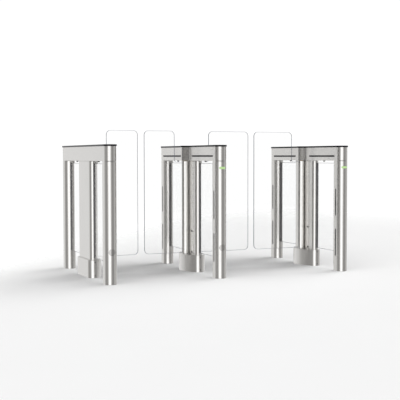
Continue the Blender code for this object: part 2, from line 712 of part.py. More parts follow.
def bearing(name, low, high, flange_low, flange_high, parent):
    """A flanged bush. The flange may sit above or below the sleeve."""
    if flange_low >= high:
        profile = [
            (BEARING_FLANGE_RADIUS, flange_high),
            (BEARING_FLANGE_RADIUS, flange_low),
            (BEARING_RADIUS, flange_low),
            (BEARING_RADIUS, low),
            (RUNNING_BORE, low),
            (RUNNING_BORE, flange_high),
        ]
    else:
        profile = [
            (BEARING_RADIUS, high),
            (BEARING_RADIUS, flange_high),
            (BEARING_FLANGE_RADIUS, flange_high),
            (BEARING_FLANGE_RADIUS, flange_low),
            (RUNNING_BORE, flange_low),
            (RUNNING_BORE, high),
        ]
    return turned(name, profile, parent, BEARING_DARK, SMALL_TURN_STEPS, ring=True)


def gear_motor(name, parent):
    """The upright drive under the bracket: gearbox above, motor can below, a bore for the shaft."""
    gearbox_low = MOTOR_TOP - GEARBOX_HEIGHT
    base = BASE_PLATE_THICKNESS + SEAT_GAP
    profile = [
        (0, MOTOR_TOP - SHAFT_INTO_MOTOR - SEAT_GAP),
        (RUNNING_BORE, MOTOR_TOP - SHAFT_INTO_MOTOR - SEAT_GAP),
        (RUNNING_BORE, MOTOR_TOP),
        (GEARBOX_RADIUS, MOTOR_TOP),
        (GEARBOX_RADIUS, gearbox_low),
        (MOTOR_RADIUS, gearbox_low),
        (MOTOR_RADIUS, base),
        (0, base),
    ]
    return turned(name, profile, parent, MOTOR_GREY, SMALL_TURN_STEPS)


def wing(name, pedestal_name, side, pitch):
    """A wing's moving pieces, and the bearings and drive on the same axis."""
    axis = PEDESTAL_X[pedestal_name] + side * POST_AXIS_OFFSET
    parent = empty_at(f"{name}_axis", axis)
    reach = pitch / 2 - POST_AXIS_OFFSET - WING_MEETING_GAP / 2
    wing_post(f"{name}_post", side, parent)
    wing_pane(f"{name}_pane", side, reach, parent)
    flange = BRACKET_TOP + SEAT_GAP
    bearing(f"{name}_lower_bearing", BRACKET_BOTTOM + SEAT_GAP, BRACKET_TOP,
            flange, flange + BEARING_FLANGE, parent)
    flange = HEAD_BOTTOM - BEARING_FLANGE
    bearing(f"{name}_upper_bearing", HEAD_BOTTOM, BOSS_TOP, flange, HEAD_BOTTOM, parent)
    gear_motor(f"{name}_gear_motor", parent)


for old in list(bpy.data.objects):
    bpy.data.objects.remove(old)

PARTS = new_collection("optical_turnstile")
CUTTERS = new_collection("cutters")

STEEL = principled("Brushed stainless steel", (0.62, 0.61, 0.59), 1.0, 0.32)
GLOSS_BLACK = principled("Glossy black lid", (0.012, 0.012, 0.014), 0.0, 0.08)
GLASS = principled("Clear toughened glass", (0.96, 0.97, 0.98), 0.0, 0.02, transmission=1.0)
LENS_BLACK = principled("Dark sensor lens", (0.020, 0.020, 0.024), 0.0, 0.15)
LIGHT_GREEN = principled("Green status light", (0.35, 0.85, 0.25), 0.0, 0.3, glow=1.0)
CAP_GREY = principled("Nose cap steel", (0.45, 0.44, 0.43), 1.0, 0.35)
BEARING_DARK = principled("Bearing bronze", (0.20, 0.17, 0.13), 1.0, 0.4)
MOTOR_GREY = principled("Motor housing", (0.30, 0.31, 0.32), 0.6, 0.5)

for pedestal_name in PEDESTAL_X:
    pedestal(pedestal_name)

wing("narrow_left_wing", "left", 1, NARROW_PITCH)
wing("narrow_right_wing", "centre", -1, NARROW_PITCH)
wing("wide_left_wing", "centre", 1, WIDE_PITCH)
wing("wide_right_wing", "right", -1, WIDE_PITCH)
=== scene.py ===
"""Looks for the optical turnstile, laid out as a Blender add-on and run as a script.

Every length is in metres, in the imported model's frame: X across the lanes, Y along the pedestals, Z up.
Each piece is a surface on a grid: a closed outline, worked out from a formula, is moved along a profile
of offsets and heights. A piece takes its place from the box of the CAD node that it stands for.
"""

import json
import math

import bmesh
import bpy
import numpy as np
from bpy.props import FloatProperty, FloatVectorProperty, IntProperty, PointerProperty
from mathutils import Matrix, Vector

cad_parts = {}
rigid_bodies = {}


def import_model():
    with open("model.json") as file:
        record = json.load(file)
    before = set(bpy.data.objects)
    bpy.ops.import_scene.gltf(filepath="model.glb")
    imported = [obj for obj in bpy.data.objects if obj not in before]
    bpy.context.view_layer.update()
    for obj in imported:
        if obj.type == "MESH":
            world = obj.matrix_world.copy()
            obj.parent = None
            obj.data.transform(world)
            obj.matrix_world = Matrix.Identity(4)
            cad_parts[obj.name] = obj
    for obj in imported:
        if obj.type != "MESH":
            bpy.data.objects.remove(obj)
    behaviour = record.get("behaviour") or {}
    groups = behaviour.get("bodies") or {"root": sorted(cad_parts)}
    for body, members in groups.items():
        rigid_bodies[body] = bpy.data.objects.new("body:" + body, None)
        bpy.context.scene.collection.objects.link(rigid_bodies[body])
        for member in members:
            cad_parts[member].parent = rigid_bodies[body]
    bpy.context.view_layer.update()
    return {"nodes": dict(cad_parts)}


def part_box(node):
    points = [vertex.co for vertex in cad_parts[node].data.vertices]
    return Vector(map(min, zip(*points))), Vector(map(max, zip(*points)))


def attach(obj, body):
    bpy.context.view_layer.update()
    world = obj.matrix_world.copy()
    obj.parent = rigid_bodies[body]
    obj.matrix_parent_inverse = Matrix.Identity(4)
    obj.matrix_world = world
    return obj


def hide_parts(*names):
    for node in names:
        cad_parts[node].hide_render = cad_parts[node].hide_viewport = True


bl_info = {
    "name": "Optical Turnstile",
    "version": (1, 0, 0),
    "blender": (4, 5, 0),
    "location": "View3D > Sidebar > Turnstile",
    "description": "Steel pedestals, black lids and clear swinging glass, in a pale studio",
    "category": "Object",
}

for leftover in list(bpy.data.objects):
    bpy.data.objects.remove(leftover)

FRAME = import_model()

WING_SIDES = {"left": (1,), "centre": (-1, 1), "right": (-1,)}
ENDS = {"front": -1, "rear": 1}
WINGS = {
    "narrow_left_wing": 1,
    "narrow_right_wing": -1,
    "wide_left_wing": 1,
    "wide_right_wing": -1,
}
FIXED = "pedestals"

# Surfaces: where an edge counts as sharp, a rounding's length with its flat margins as a share of its
# radius, and how squarely the faces of a pane look along its axis
SHARP = math.radians(30)
WITH_MARGIN = 1.4
FACE_ON = 0.95

# The small rounding where a seam's bevel starts, as a share of the seam's height
SEAM_ROUND = 1 / 8

# The length by which cutters reach past a wall, and how deep a small piece is sunk in its face
PAST = 0.01
SUNK = 0.0005

# Bearing train: the bracket's thickness, a bearing's flange past its sleeve, the boss's height, and
# how much less than the post's radius the boss, its bore and the plinth's hole are
BRACKET = 0.012
BUSH_FLANGE = 0.0045
BOSS_HEIGHT = 0.014
BOSS_INSET = 0.002
BORE_INSET = 0.0062
PLINTH_HOLE_INSET = 0.003

# Wing posts: radii of the shaft and its shoulder, how far the bar passes its glass below and the
# notch above, and where inside it the glass starts
SHAFT_RADIUS = 0.010
SHOULDER_RADIUS = 0.020
POST_BELOW = 0.0055
POST_ABOVE = 0.005
GLASS_INSET = 0.006

# The spot that sees a leaf's whole outline, as shares of its reach and of its notch's height
LEAF_CENTRE = (0.55, 0.7)

# Radii of the glazing beads' corners and of their ends
BEAD_CORNER = 0.0008
BEAD_END = 0.0005

# The nose fittings' rims, and the short lines beside each cap: size, gap to the cap and rise
NOSE_RIM = 0.0004
MARK_SIZE = (0.008, 0.0016)
MARK_GAP = 0.0045
MARK_RISE = 0.0001

# Screws: heights on the middle columns and the Y that they share, then heights on the plinths and
# how high those heads rise as a share of the others
SIDE_SCREWS = (0.318, 0.152)
SIDE_SCREW_Y = -0.072
PLINTH_SCREWS = (0.118, 0.018)
PLINTH_SCREW_RISE = 0.4

# A button head with a round socket: distance from its middle and rise, as shares of its radius
SOCKET_HEAD = ((0, 0.25), (0.30, 0.25), (0.45, 0.55), (0.50, 0.62), (0.80, 0.60), (0.95, 0.42), (1, 0.1))

# Grains in a metre on each axis, for steel brushed from top to bottom and along the pedestal
UPRIGHT_GRAIN = (2400, 2400, 3)
LEVEL_GRAIN = (2400, 3, 2400)

# Handling marks on steel: grains in a metre on each axis, and the noise between which they grow
SMUDGE_GRAIN = (7, 7, 5)
SMUDGE_FADE = (0.45, 0.8)

# Depth of the waviness in lacquer and paint
WAVINESS = 0.00003


def box(node):
    """The lowest and highest corner of a CAD node, as arrays."""
    low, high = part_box(node)
    return np.array(low), np.array(high)


def middle(node):
    return sum(box(node)) / 2


def hand(side):
    return "right" if side > 0 else "left"


# Settings


def length(name, description, default, **more):
    more = {"min": 0, "unit": "LENGTH", "precision": 4, **more}
    return FloatProperty(name=name, description=description, default=default, **more)


def colour(name, description, default):
    more = {"subtype": "COLOR", "size": 3, "min": 0, "max": 1}
    return FloatVectorProperty(name=name, description=description, default=default, **more)


def share(name, description, default):
    more = {"subtype": "FACTOR", "min": 0, "max": 1}
    return FloatProperty(name=name, description=description, default=default, **more)


class TurnstileSizes(bpy.types.PropertyGroup):
    column_wall: length("Column Wall", "Wall of the end columns", 0.002)
    drive_wall: length("Drive Column Wall", "Wall of the middle columns", 0.003)
    plinth_wall: length("Plinth Wall", "Wall of the plinth covers", 0.003)
    head_wall: length("Head Wall", "Wall and floor of the head beams", 0.003)
    foot_plate: length("Foot Plate", "Thickness of the end columns' foot plates", 0.006)
    base_plate: length("Base Plate", "Thickness of the middle columns' base plates", 0.008)
    edge_round: length("Steel Edge", "Radius of the steel pieces' broken edges", 0.0009)
    seam: length("Seam", "Height of the bevels where a head sits on its columns", 0.003)
    lid_round: length("Lid Edge", "Radius of the lids' edges", 0.0018)
    lid_lip: length("Lid Lip", "Thickness of the lip inside the head's walls", 0.003)
    wing_bevel: length("Wing Bevel", "Width of the ground bevel round a wing", 0.0016)
    pane_bevel: length("Pane Bevel", "Width of the ground bevel round a fixed pane", 0.0025)
    bead_width: length("Bead Width", "Width of the dark bead at a pane's front end", 0.012)
    wide_bead: length("Wide Bead", "Width of the dark bead at a pane's rear end", 0.030)
    bead_rise: length("Bead Rise", "How far the beads stand off the glass", 0.0016)
    post_edge: length("Post Edge", "Radius at the ends of the wing posts", 0.0015)
    seat_gap: length("Seat Gap", "Gap between pieces that seat on each other", 0.0003)
    groove_depth: length("Groove Depth", "How far a pane's edge stands in a column", 0.004)
    head_wave: length("Head Wave", "Half length of the head's swelling round a post", 0.075)
    column_slot_width: length("Column Window Width", "Width of the windows in a column", 0.015)
    head_slot_width: length("Head Window Width", "Width of the windows in a head", 0.013)
    column_slot: length("Column Window", "Length of each window in a column", 0.215)
    slot_margin: length("Window Margin", "How far the lens bars reach past a window", 0.020)
    head_slot_start: length("Head Window Start", "From the middle to the head's windows", 0.115)
    pane_corner: length("Pane Corner", "Corner radius of the fixed panes", 0.012)
    wing_corner: length("Wing Corner", "Radius of the wings' free corners", 0.035)
    wing_notch: length("Wing Notch", "Radius of the wings' inner notch", 0.015)
    wing_held: length("Wing Held Corner", "Radius of the corners inside a post", 0.003)
    wing_setback: length("Wing Setback", "From the post's axis to the wing's upper part", 0.091)
    notch_height: length("Notch Height", "Height at which the wings step back", 0.863)
    light_length: length("Light Length", "Length of the status lights", 0.050)
    light_width: length("Light Width", "Height of the status lights", 0.018)
    cap_diameter: length("Cap Diameter", "Diameter of the round nose caps", 0.049)
    dome_diameter: length("Dome Diameter", "Diameter of the dark domes under the heads", 0.018)
    dome_drop: length("Dome Drop", "How far a dome hangs below its head", 0.009)
    dome_spread: length("Dome Spread", "From the middle to a dome", 0.285)
    screw_diameter: length("Screw Diameter", "Diameter of the dark screw heads", 0.014)
    plinth_screw: length("Plinth Screw", "Diameter of the screws in the plinth's nose", 0.009)
    merge: length("Merge Distance", "Points closer than this become one", 0.000001, precision=6)
    round_steps: IntProperty(
        name="Round Steps", description="Facets in a quarter turn", default=18, min=4, max=64
    )
    swell_steps: IntProperty(
        name="Swell Steps", description="Rows along a swelling", default=49, min=9, max=201
    )


class TurnstileColours(bpy.types.PropertyGroup):
    steel: colour("Steel", "Brushed stainless steel", (0.70, 0.69, 0.675))
    post: colour("Post", "Turned steel of the wing posts", (0.80, 0.79, 0.775))
    cap: colour("Cap", "Round nose caps", (0.52, 0.51, 0.50))
    lid: colour("Lid", "Polished black lids", (0.006, 0.006, 0.008))
    glass: colour("Glass", "Clear toughened glass", (0.992, 0.994, 0.993))
    glass_edge: colour("Glass Edge", "Ground edges of the glass", (0.075, 0.09, 0.145))
    lens: colour("Lens", "Smoked sensor lenses", (0.010, 0.010, 0.012))
    light: colour("Light", "Frosted green status lights", (0.28, 0.42, 0.18))
    light_core: colour("Light Core", "Brightest part of a status light", (0.40, 0.56, 0.28))
    fitting: colour("Fittings", "Dark screws and domes", (0.050, 0.047, 0.045))
    rubber: colour("Rubber", "Glazing beads", (0.18, 0.18, 0.185))
    bronze: colour("Bronze", "Bearings", (0.42, 0.31, 0.18))
    motor: colour("Motor", "Painted motor housings", (0.25, 0.26, 0.27))
    steel_roughness: share("Steel Roughness", "How satin the steel is", 0.22)
    smudges: share("Smudges", "How much handling dulls the steel", 0.05)
    light_glow: FloatProperty(
        name="Light Glow", description="Brightness of the status lights", default=0.65, min=0
    )
    scratch_depth: length("Scratch Depth", "Depth of the brushing", 0.000002, precision=6)


class StudioSettings(bpy.types.PropertyGroup):
    floor: colour("Floor", "Pale studio floor", (0.90, 0.90, 0.90))
    fade_start: length("Fade Start", "Distance where the floor starts to fade to white", 3.85)
    fade_end: length("Fade End", "Distance where the floor has faded to white", 10.2)
    back_start: length("Back Fade Start", "Where the fade behind the left pedestal starts", 0.73)
    back_end: length("Back Fade End", "Where the fade behind the left pedestal ends", 2.12)
    front_light: FloatProperty(
        name="Front Light", description="Strength of the wide light in front", default=3.6, min=0
    )
    side_light: FloatProperty(
        name="Side Light", description="Strength of the narrower light on the right", default=0.8, min=0
    )
    lens: FloatProperty(
        name="Camera Lens", description="Focal length", default=84.341, min=1, unit="CAMERA"
    )


def sizes():
    return bpy.context.scene.turnstile_sizes


def colours():
    return bpy.context.scene.turnstile_colours


# Outlines


class Outline:
    """A closed outline in a plane. Its normals come from the chord between each point's neighbours,
    and its spine is the line or point that it shrinks to, with one spine point for each point."""

    def __init__(self, points, spine):
        chord = np.roll(points, -1, axis=0) - np.roll(points, 1, axis=0)
        chord /= np.linalg.norm(chord, axis=1)[:, None]
        after = np.roll(points, -1, axis=0)
        area = np.sum(points[:, 0] * after[:, 1] - points[:, 1] * after[:, 0])
        self.points = points
        self.normals = np.stack([chord[:, 1], -chord[:, 0]], axis=1) * np.sign(area)
        self.spine = spine

    def at(self, offset):
        """The outline moved outwards along its normals, or its spine where the offset is None."""
        return self.spine if offset is None else self.points + offset * self.normals


def mirrored(centre, reach, y, right, left):
    """An outline from two half widths over the same rows. It shrinks to the line between its ends."""
    rows = np.concatenate([y, y[-2:0:-1]])
    across = np.concatenate([right, -left[-2:0:-1]])
    spine = np.stack([np.zeros_like(rows), np.clip(rows, -reach, reach)], axis=1)
    return Outline(np.stack([across, rows], axis=1) + centre, spine + centre)


def pole_rows(reach, radius, straight):
    """Rows from pole to pole, evenly turned round each half-round end: reach + radius * sin(turn)."""
    turn = np.linspace(0, math.pi / 2, sizes().round_steps + 1)
    end = reach + radius * np.sin(turn)
    return np.concatenate([-end[::-1], straight[1:-1], end])


def round_half(y, reach, radius):
    """Half width of a stadium: the radius along its straight, and a circle's chord past it."""
    past = np.clip(np.abs(y) - reach, 0, radius)
    return np.sqrt(np.maximum(radius**2 - past**2, 0))


def stadium(centre, size):
    """Half width = radius along the straight, sqrt(radius squared - past squared) round the ends."""
    radius, reach = size[0] / 2, (size[1] - size[0]) / 2
    y = pole_rows(reach, radius, np.linspace(-reach, reach, 5))
    half = round_half(y, reach, radius)
    return mirrored(np.asarray(centre), reach, y, half, half)


def plinth_outline(centre, size, swell, sides):
    """A stadium whose wing sides are one wide arc that is tangent to both round ends:
    half width = sqrt(big radius squared - y squared) - how far back the arc's centre lies."""
    radius, reach = size[0] / 2, (size[1] - size[0]) / 2
    y = pole_rows(reach, radius, np.linspace(-reach, reach, sizes().swell_steps))
    plain = round_half(y, reach, radius)
    rise = (reach**2 + swell**2) / (2 * swell)
    big = rise + radius
    arc = np.sqrt(np.maximum(big**2 - y**2, 0)) - (rise - swell)
    swollen = np.where(np.abs(y) < big * reach / rise, arc, plain)
    halves = [swollen if side in sides else plain for side in (1, -1)]
    return mirrored(np.asarray(centre), reach, y, *halves)


def head_outline(centre, size, swell, sides):
    """A stadium whose wing sides rise in one cosine wave round the post:
    half width = radius + swell / 2 * (1 + cos(pi * y / half length of the wave))."""
    radius, reach, half = size[0] / 2, (size[1] - size[0]) / 2, sizes().head_wave
    wave = np.linspace(-half, half, sizes().swell_steps)
    plain_rows = np.linspace(half, reach, 5)[1:]
    y = pole_rows(reach, radius, np.concatenate([-plain_rows[::-1], wave, plain_rows]))
    plain = round_half(y, reach, radius)
    rise = np.where(np.abs(y) < half, swell / 2 * (1 + np.cos(math.pi * y / half)), 0)
    halves = [plain + rise if side in sides else plain for side in (1, -1)]
    return mirrored(np.asarray(centre), reach, y, *halves)


def circle(centre, radius, steps=64):
    """Centre + radius * (cos t, sin t), for one full turn of t."""
    turn = np.linspace(0, 2 * math.pi, steps, endpoint=False)
    centre = np.asarray(centre)
    points = centre + radius * np.stack([np.cos(turn), np.sin(turn)], axis=1)
    return Outline(points, np.broadcast_to(centre, points.shape))


def pill(centre, size, steps=12):
    """Two half circles a straight apart, long in whichever way the size is longer."""
    radius = min(size) / 2
    reach = max(size) / 2 - radius
    turn = np.linspace(-math.pi / 2, math.pi / 2, steps + 1)
    half = np.stack([reach + radius * np.cos(turn), radius * np.sin(turn)], axis=1)
    rest = np.stack([np.full(len(turn), reach), np.zeros(len(turn))], axis=1)
    points, spine = np.concatenate([half, -half]), np.concatenate([rest, -rest])
    if size[1] > size[0]:
        points, spine = points[:, ::-1], spine[:, ::-1]
    return Outline(points + np.asarray(centre), spine + np.asarray(centre))


def corner_arc(before, corner, after, steps=10):
    """Points on the arc that rounds a polygon's corner: its centre lies off both sides by the radius."""
    spot, radius = np.array(corner[:2]), corner[2]
    into, out = spot - before[:2], np.array(after[:2]) - spot
    start = math.atan2(into[1], into[0])
    turn = (math.atan2(out[1], out[0]) - start + math.pi) % (2 * math.pi) - math.pi
    way = math.copysign(1, turn)
    along = np.array([math.cos(start), math.sin(start)])
    across = np.array([-along[1], along[0]]) * way
    centre = spot - along * radius * math.tan(abs(turn) / 2) + across * radius
    angle = start - way * math.pi / 2 + np.linspace(0, turn, steps + 1)
    return centre + radius * np.stack([np.cos(angle), np.sin(angle)], axis=1)


def rounded(corners, centre):
    """A polygon of (a, b, radius) corners with an arc at each. All of it is seen from its centre."""
    around = zip(corners[-1:] + corners[:-1], corners, corners[1:] + corners[:1])
    points = np.concatenate([corner_arc(*three) for three in around])
    return Outline(points, np.broadcast_to(np.asarray(centre), points.shape))


# Surfaces


def upright(flat, height):
    return np.column_stack([flat, np.full(len(flat), height)])


def facing_x(flat, height):
    """The outline lies in the YZ plane, and the profile's heights run along X."""
    return np.column_stack([np.full(len(flat), height), flat])


def facing_y(flat, height):
    """The outline lies in the XZ plane, and the profile's heights run along Y."""
    return np.column_stack([flat[:, 0], np.full(len(flat), height), flat[:, 1]])


def eased(corners, steps=4):
    """A profile of (offset, height, radius) corners, where each radius becomes a curve with a flat
    margin beside it: start * (1 - t) squared + 2 * corner * t * (1 - t) + end * t squared."""
    profile = [corners[0][:2]]
    for before, (offset, height, radius), after in zip(corners, corners[1:], corners[2:]):
        if not radius:
            profile.append((offset, height))
            continue
        spot = np.array([offset, height])
        ways = []
        for other in (before, after):
            way = np.array([-1.0, 0.0]) if other[0] is None else np.array(other[:2]) - spot
            ways.append(way / np.linalg.norm(way))
        t = np.linspace(0, 1, steps + 1)[:, None]
        start, end = (spot + way * radius for way in ways)
        curve = start * (1 - t) ** 2 + 2 * spot * t * (1 - t) + end * t**2
        margins = [spot + way * radius * WITH_MARGIN for way in ways]
        profile += [tuple(point) for point in (margins[0], *curve, margins[1])]
    profile.append(corners[-1][:2])
    return profile


def grid(rings):
    """Quads between rings of points, where each ring closes on itself, as points and faces."""
    rings = np.asarray(rings)
    rows, around = rings.shape[:2]
    index = np.arange(rows * around).reshape(rows, around)
    after = np.roll(index, -1, axis=1)
    faces = np.stack([index[:-1], after[:-1], after[1:], index[1:]], axis=-1)
    return rings.reshape(-1, 3), faces.reshape(-1, 4)


def carried(outline, profile, place=upright):
    """The surface that an outline sweeps as it follows a profile of (offset, height) pairs."""
    return grid([place(outline.at(offset), height) for offset, height in profile])


def slab(outline, low, high, place=upright):
    return carried(outline, [(None, low), (0, low), (0, high), (None, high)], place)


def brick(low, high):
    """A box between two corners, as a slab of a four-point outline."""
    (ax, ay, az), (bx, by, bz) = low, high
    points = np.array([(ax, ay), (bx, ay), (bx, by), (ax, by)], float)
    return slab(Outline(points, np.broadcast_to(points.mean(axis=0), points.shape)), az, bz)


def turned(centre, profile, steps=64, place=upright):
    """A body of revolution: centre + radius * (cos t, sin t) at each (radius, height) of a profile."""
    outline = circle(centre, 1, steps)
    return carried(outline, [(None if r == 0 else r - 1, height) for r, height in profile], place)


def on_nose(outline, axis, profile):
    """A pad that lies on a column's round nose: each ring of the outline, shrunk by a share towards its
    spine, sits at y = axis y - sqrt(radius squared - (x - axis x) squared)."""
    rings = []
    for part, radius in profile:
        flat = outline.spine + (outline.points - outline.spine) * part
        y = axis[1] - np.sqrt(radius**2 - (flat[:, 0] - axis[0]) ** 2)
        rings.append(np.column_stack([flat[:, 0], y, flat[:, 1]]))
    return grid(rings)


def sharpen(mesh):
    mesh.shade_smooth()
    mesh.set_sharp_from_angle(angle=SHARP)


def piece(name, *grids):
    """One mesh object from closed grids: doubles merged, faces out, smooth but for its sharp edges."""
    points, faces, count = [], [], 0
    for spots, quads in grids:
        points.append(spots)
        faces.append(quads + count)
        count += len(spots)
    mesh = bpy.data.meshes.new(name)
    mesh.from_pydata(np.concatenate(points).tolist(), [], np.concatenate(faces).tolist())
    work = bmesh.new()
    work.from_mesh(mesh)
    bmesh.ops.remove_doubles(work, verts=work.verts, dist=sizes().merge)
    bmesh.ops.dissolve_degenerate(work, edges=work.edges, dist=sizes().merge / 10)
    bmesh.ops.recalc_face_normals(work, faces=work.faces)
    work.to_mesh(mesh)
    work.free()
    sharpen(mesh)
    obj = bpy.data.objects.new(name, mesh)
    bpy.context.scene.collection.objects.link(obj)
    return obj


def cut(obj, *grids, joined=False):
    """Takes closed grids out of a piece with one exact Boolean, which is then made permanent, and
    closes any sliver that it leaves open. Joined says that the piece's grids pass into each other."""
    tool = piece(obj.name + "_tool", *grids)
    modifier = obj.modifiers.new("Openings", "BOOLEAN")
    modifier.object = tool
    modifier.use_self = joined
    graph = bpy.context.evaluated_depsgraph_get()
    mesh = bpy.data.meshes.new_from_object(obj.evaluated_get(graph))
    obj.modifiers.clear()
    olds = (obj.data, tool.data)
    obj.data = mesh
    bpy.data.objects.remove(tool)
    for old in olds:
        bpy.data.meshes.remove(old)
    mesh.name = obj.name
    form = bmesh.new()
    form.from_mesh(mesh)
    bmesh.ops.holes_fill(form, edges=form.edges, sides=0)
    form.to_mesh(mesh)
    form.free()
    sharpen(mesh)
    return obj


def dress(obj, maker, replaces=(), body=FIXED):
    """Gives a piece its material and its body, and hides the CAD nodes that it stands for."""
    obj.data.materials.clear()
    obj.data.materials.append(made(maker))
    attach(obj, body)
    if replaces:
        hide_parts(*replaces)
    return obj


def edge_band(obj, axis, maker):
    """Gives the faces that don't face along the axis a second material."""
    mesh = obj.data
    normals = np.zeros(len(mesh.polygons) * 3, np.float32)
    mesh.polygons.foreach_get("normal", normals)
    edge = np.abs(normals.reshape(-1, 3)[:, axis]) < FACE_ON
    mesh.materials.append(made(maker))
    mesh.polygons.foreach_set("material_index", edge.astype(np.int32))
    mesh.update()
    return obj


# Materials


def made(maker):
    """The material that a function makes, which has the function's name and is made once."""
    return bpy.data.materials.get(maker.__name__) or maker()


class Wire:
    """A shader output that sums can be written on. Each operator adds its Math node."""

    def __init__(self, nodes, socket):
        self.nodes, self.socket = nodes, socket

    def math(self, operation, first, second):
        return self.nodes.add("Math", {"operation": operation}, {0: first, 1: second})

    def of(self, operation, other=0.0):
        """An operation on this value, and on another where it takes two."""
        return self.math(operation, self, other)

    def __add__(self, other):
        return self.of("ADD", other)

    def __sub__(self, other):
        return self.of("SUBTRACT", other)

    def __rsub__(self, other):
        return self.math("SUBTRACT", other, self)

    def __mul__(self, other):
        return self.of("MULTIPLY", other)

    def __truediv__(self, other):
        return self.of("DIVIDE", other)

    __radd__, __rmul__ = __add__, __mul__

    def fade(self, start, end):
        """0 before the start and 1 past the end, smooth between."""
        values = {"Value": self, "From Min": start, "From Max": end}
        return self.nodes.add("MapRange", {"interpolation_type": "SMOOTHSTEP"}, values)


class Nodes:
    """A node tree. add() makes any node from its type, its settings and what its sockets take."""

    def __init__(self, tree):
        self.tree = tree

    def add(self, kind, settings=None, sockets=None, output=0):
        node = self.tree.nodes.new("ShaderNode" + kind)
        settings = dict(settings or {})
        stops = settings.pop("stops", ())
        for key, value in settings.items():
            setattr(node, key, value)
        for place, (position, value) in enumerate(stops):
            elements = node.color_ramp.elements
            stop = elements[place] if place < 2 else elements.new(position)
            stop.position, stop.color = position, (*value, 1)
        for key, value in (sockets or {}).items():
            if isinstance(value, Wire):
                self.tree.links.new(value.socket, node.inputs[key])
            else:
                node.inputs[key].default_value = value
        return Wire(self, node.outputs[output])

    def feed(self, shader, socket, wire):
        self.tree.links.new(wire.socket, shader.inputs[socket])

    def noise(self, scale, detail=2.0, rough=0.5):
        """Noise on Object coordinates in metres, with so many grains in a metre on each axis."""
        where = self.add("TexCoord", output=3)
        where = self.add("Mapping", None, {"Vector": where, "Scale": scale})
        values = {"Vector": where, "Scale": 1.0, "Detail": detail, "Roughness": rough}
        return self.add("TexNoise", None, values)

    def blend(self, part, first, second):
        """A colour between two, through a Mix node."""
        values = {0: part, 6: (*first, 1), 7: (*second, 1)}
        return self.add("Mix", {"data_type": "RGBA"}, values, output=2)


def material(name, base, metallic, roughness, **constants):
    """A Principled material with its constants on the shader's own sockets, its nodes and its shader."""
    result = bpy.data.materials.new(name)
    result.use_nodes = True
    shader = result.node_tree.nodes["Principled BSDF"]
    shader.inputs["Base Color"].default_value = (*base, 1)
    shader.inputs["Metallic"].default_value = metallic
    shader.inputs["Roughness"].default_value = roughness
    for key, value in constants.items():
        shader.inputs[key.replace("_", " ")].default_value = value
    return result, Nodes(result.node_tree), shader


def relief(nodes, shader, height, depth):
    values = {"Strength": 1.0, "Distance": depth, "Height": height}
    nodes.feed(shader, "Normal", nodes.add("Bump", None, values))


def shades(base, spread):
    """A darker and a paler shade of a colour: base * (1 - spread) and base * (1 + spread)."""
    return [value * (1 - spread) for value in base], [min(1, value * (1 + spread)) for value in base]


def sheen(uneven, roughness, variation):
    """Roughness that varies about its middle: uneven * variation + roughness - variation / 2."""
    return uneven * variation + (roughness - variation / 2)


def mottled(name, base, spread, grain, roughness, variation, metallic=0.0, **constants):
    """A finish that is a little uneven in colour and gloss, at the scale of its grain."""
    result, nodes, shader = material(name, base, metallic, roughness, **constants)
    uneven = nodes.noise(grain, 3.0)
    nodes.feed(shader, "Base Color", nodes.blend(uneven, *shades(base, spread)))
    nodes.feed(shader, "Roughness", sheen(uneven, roughness, variation))
    return result, nodes, shader, uneven


def brushed(name, base, roughness, grain):
    """Satin steel: fine scratches drawn out along one axis, with faint handling marks over them."""
    settings = colours()
    result, nodes, shader = material(name, base, 1.0, roughness)
    scratches = nodes.noise(grain, 3.0, 0.6)
    marks = nodes.noise(SMUDGE_GRAIN, 4.0, 0.6).fade(*SMUDGE_FADE)
    nodes.feed(shader, "Base Color", nodes.blend(scratches.fade(0.3, 0.7), *shades(base, 0.05)))
    dulled = sheen(scratches, roughness, 0.08) + marks * settings.smudges
    nodes.feed(shader, "Roughness", dulled)
    relief(nodes, shader, scratches, settings.scratch_depth)
    return result


def upright_steel():
    """Brushed from top to bottom, as on the columns and plinths."""
    return brushed("upright_steel", colours().steel, colours().steel_roughness, UPRIGHT_GRAIN)


def post_steel():
    """The turned posts, a little more polished than the columns."""
    return brushed("post_steel", colours().post, colours().steel_roughness * 0.65, UPRIGHT_GRAIN)


def level_steel():
    """Brushed along the pedestal, as on the head beams."""
    return brushed("level_steel", colours().steel, colours().steel_roughness, LEVEL_GRAIN)


def cap_steel():
    """Darker, bead-blasted steel with a fine even grain."""
    return brushed("cap_steel", colours().cap, 0.25, (1500, 1500, 1500))


def gloss_black():
    """Polished black, almost a mirror, with a faint waviness and a little settled dust."""
    base = colours().lid
    result, nodes, shader = material("gloss_black", base, 0.0, 0.06, Specular_IOR_Level=0.12)
    wavy = nodes.noise((60, 60, 60))
    dust = nodes.noise((900, 900, 900)).fade(0.62, 0.76)
    nodes.feed(shader, "Base Color", nodes.blend(dust * 0.3, base, (0.08, 0.08, 0.08)))
    nodes.feed(shader, "Roughness", wavy * 0.05 + dust * 0.1 + 0.04)
    relief(nodes, shader, wavy, WAVINESS)
    return result


def clear_glass():
    """The face of toughened glass, clear, with faint wipe marks that change only its gloss."""
    base = colours().glass
    result, nodes, shader = material("clear_glass", base, 0.0, 0.0, Transmission_Weight=1.0, IOR=1.4)
    wipes = nodes.noise((3, 3, 11), 4.0, 0.6).fade(0.55, 0.85)
    nodes.feed(shader, "Roughness", wipes * 0.02)
    return result


def glass_edge():
    """The ground edge of the glass, darker and bluer than its face, with a fine grain."""
    base = colours().glass_edge
    more = {"Transmission_Weight": 0.1, "IOR": 1.5}
    return mottled("glass_edge", base, 0.08, (500, 500, 500), 0.3, 0.12, **more)[0]


def smoked_lens():
    """Dark filter plastic in front of the beam sensors, slightly mottled in its depth."""
    more = {"Specular_IOR_Level": 0.12}
    return mottled("smoked_lens", colours().lens, 0.35, (220, 220, 220), 0.16, 0.08, **more)[0]


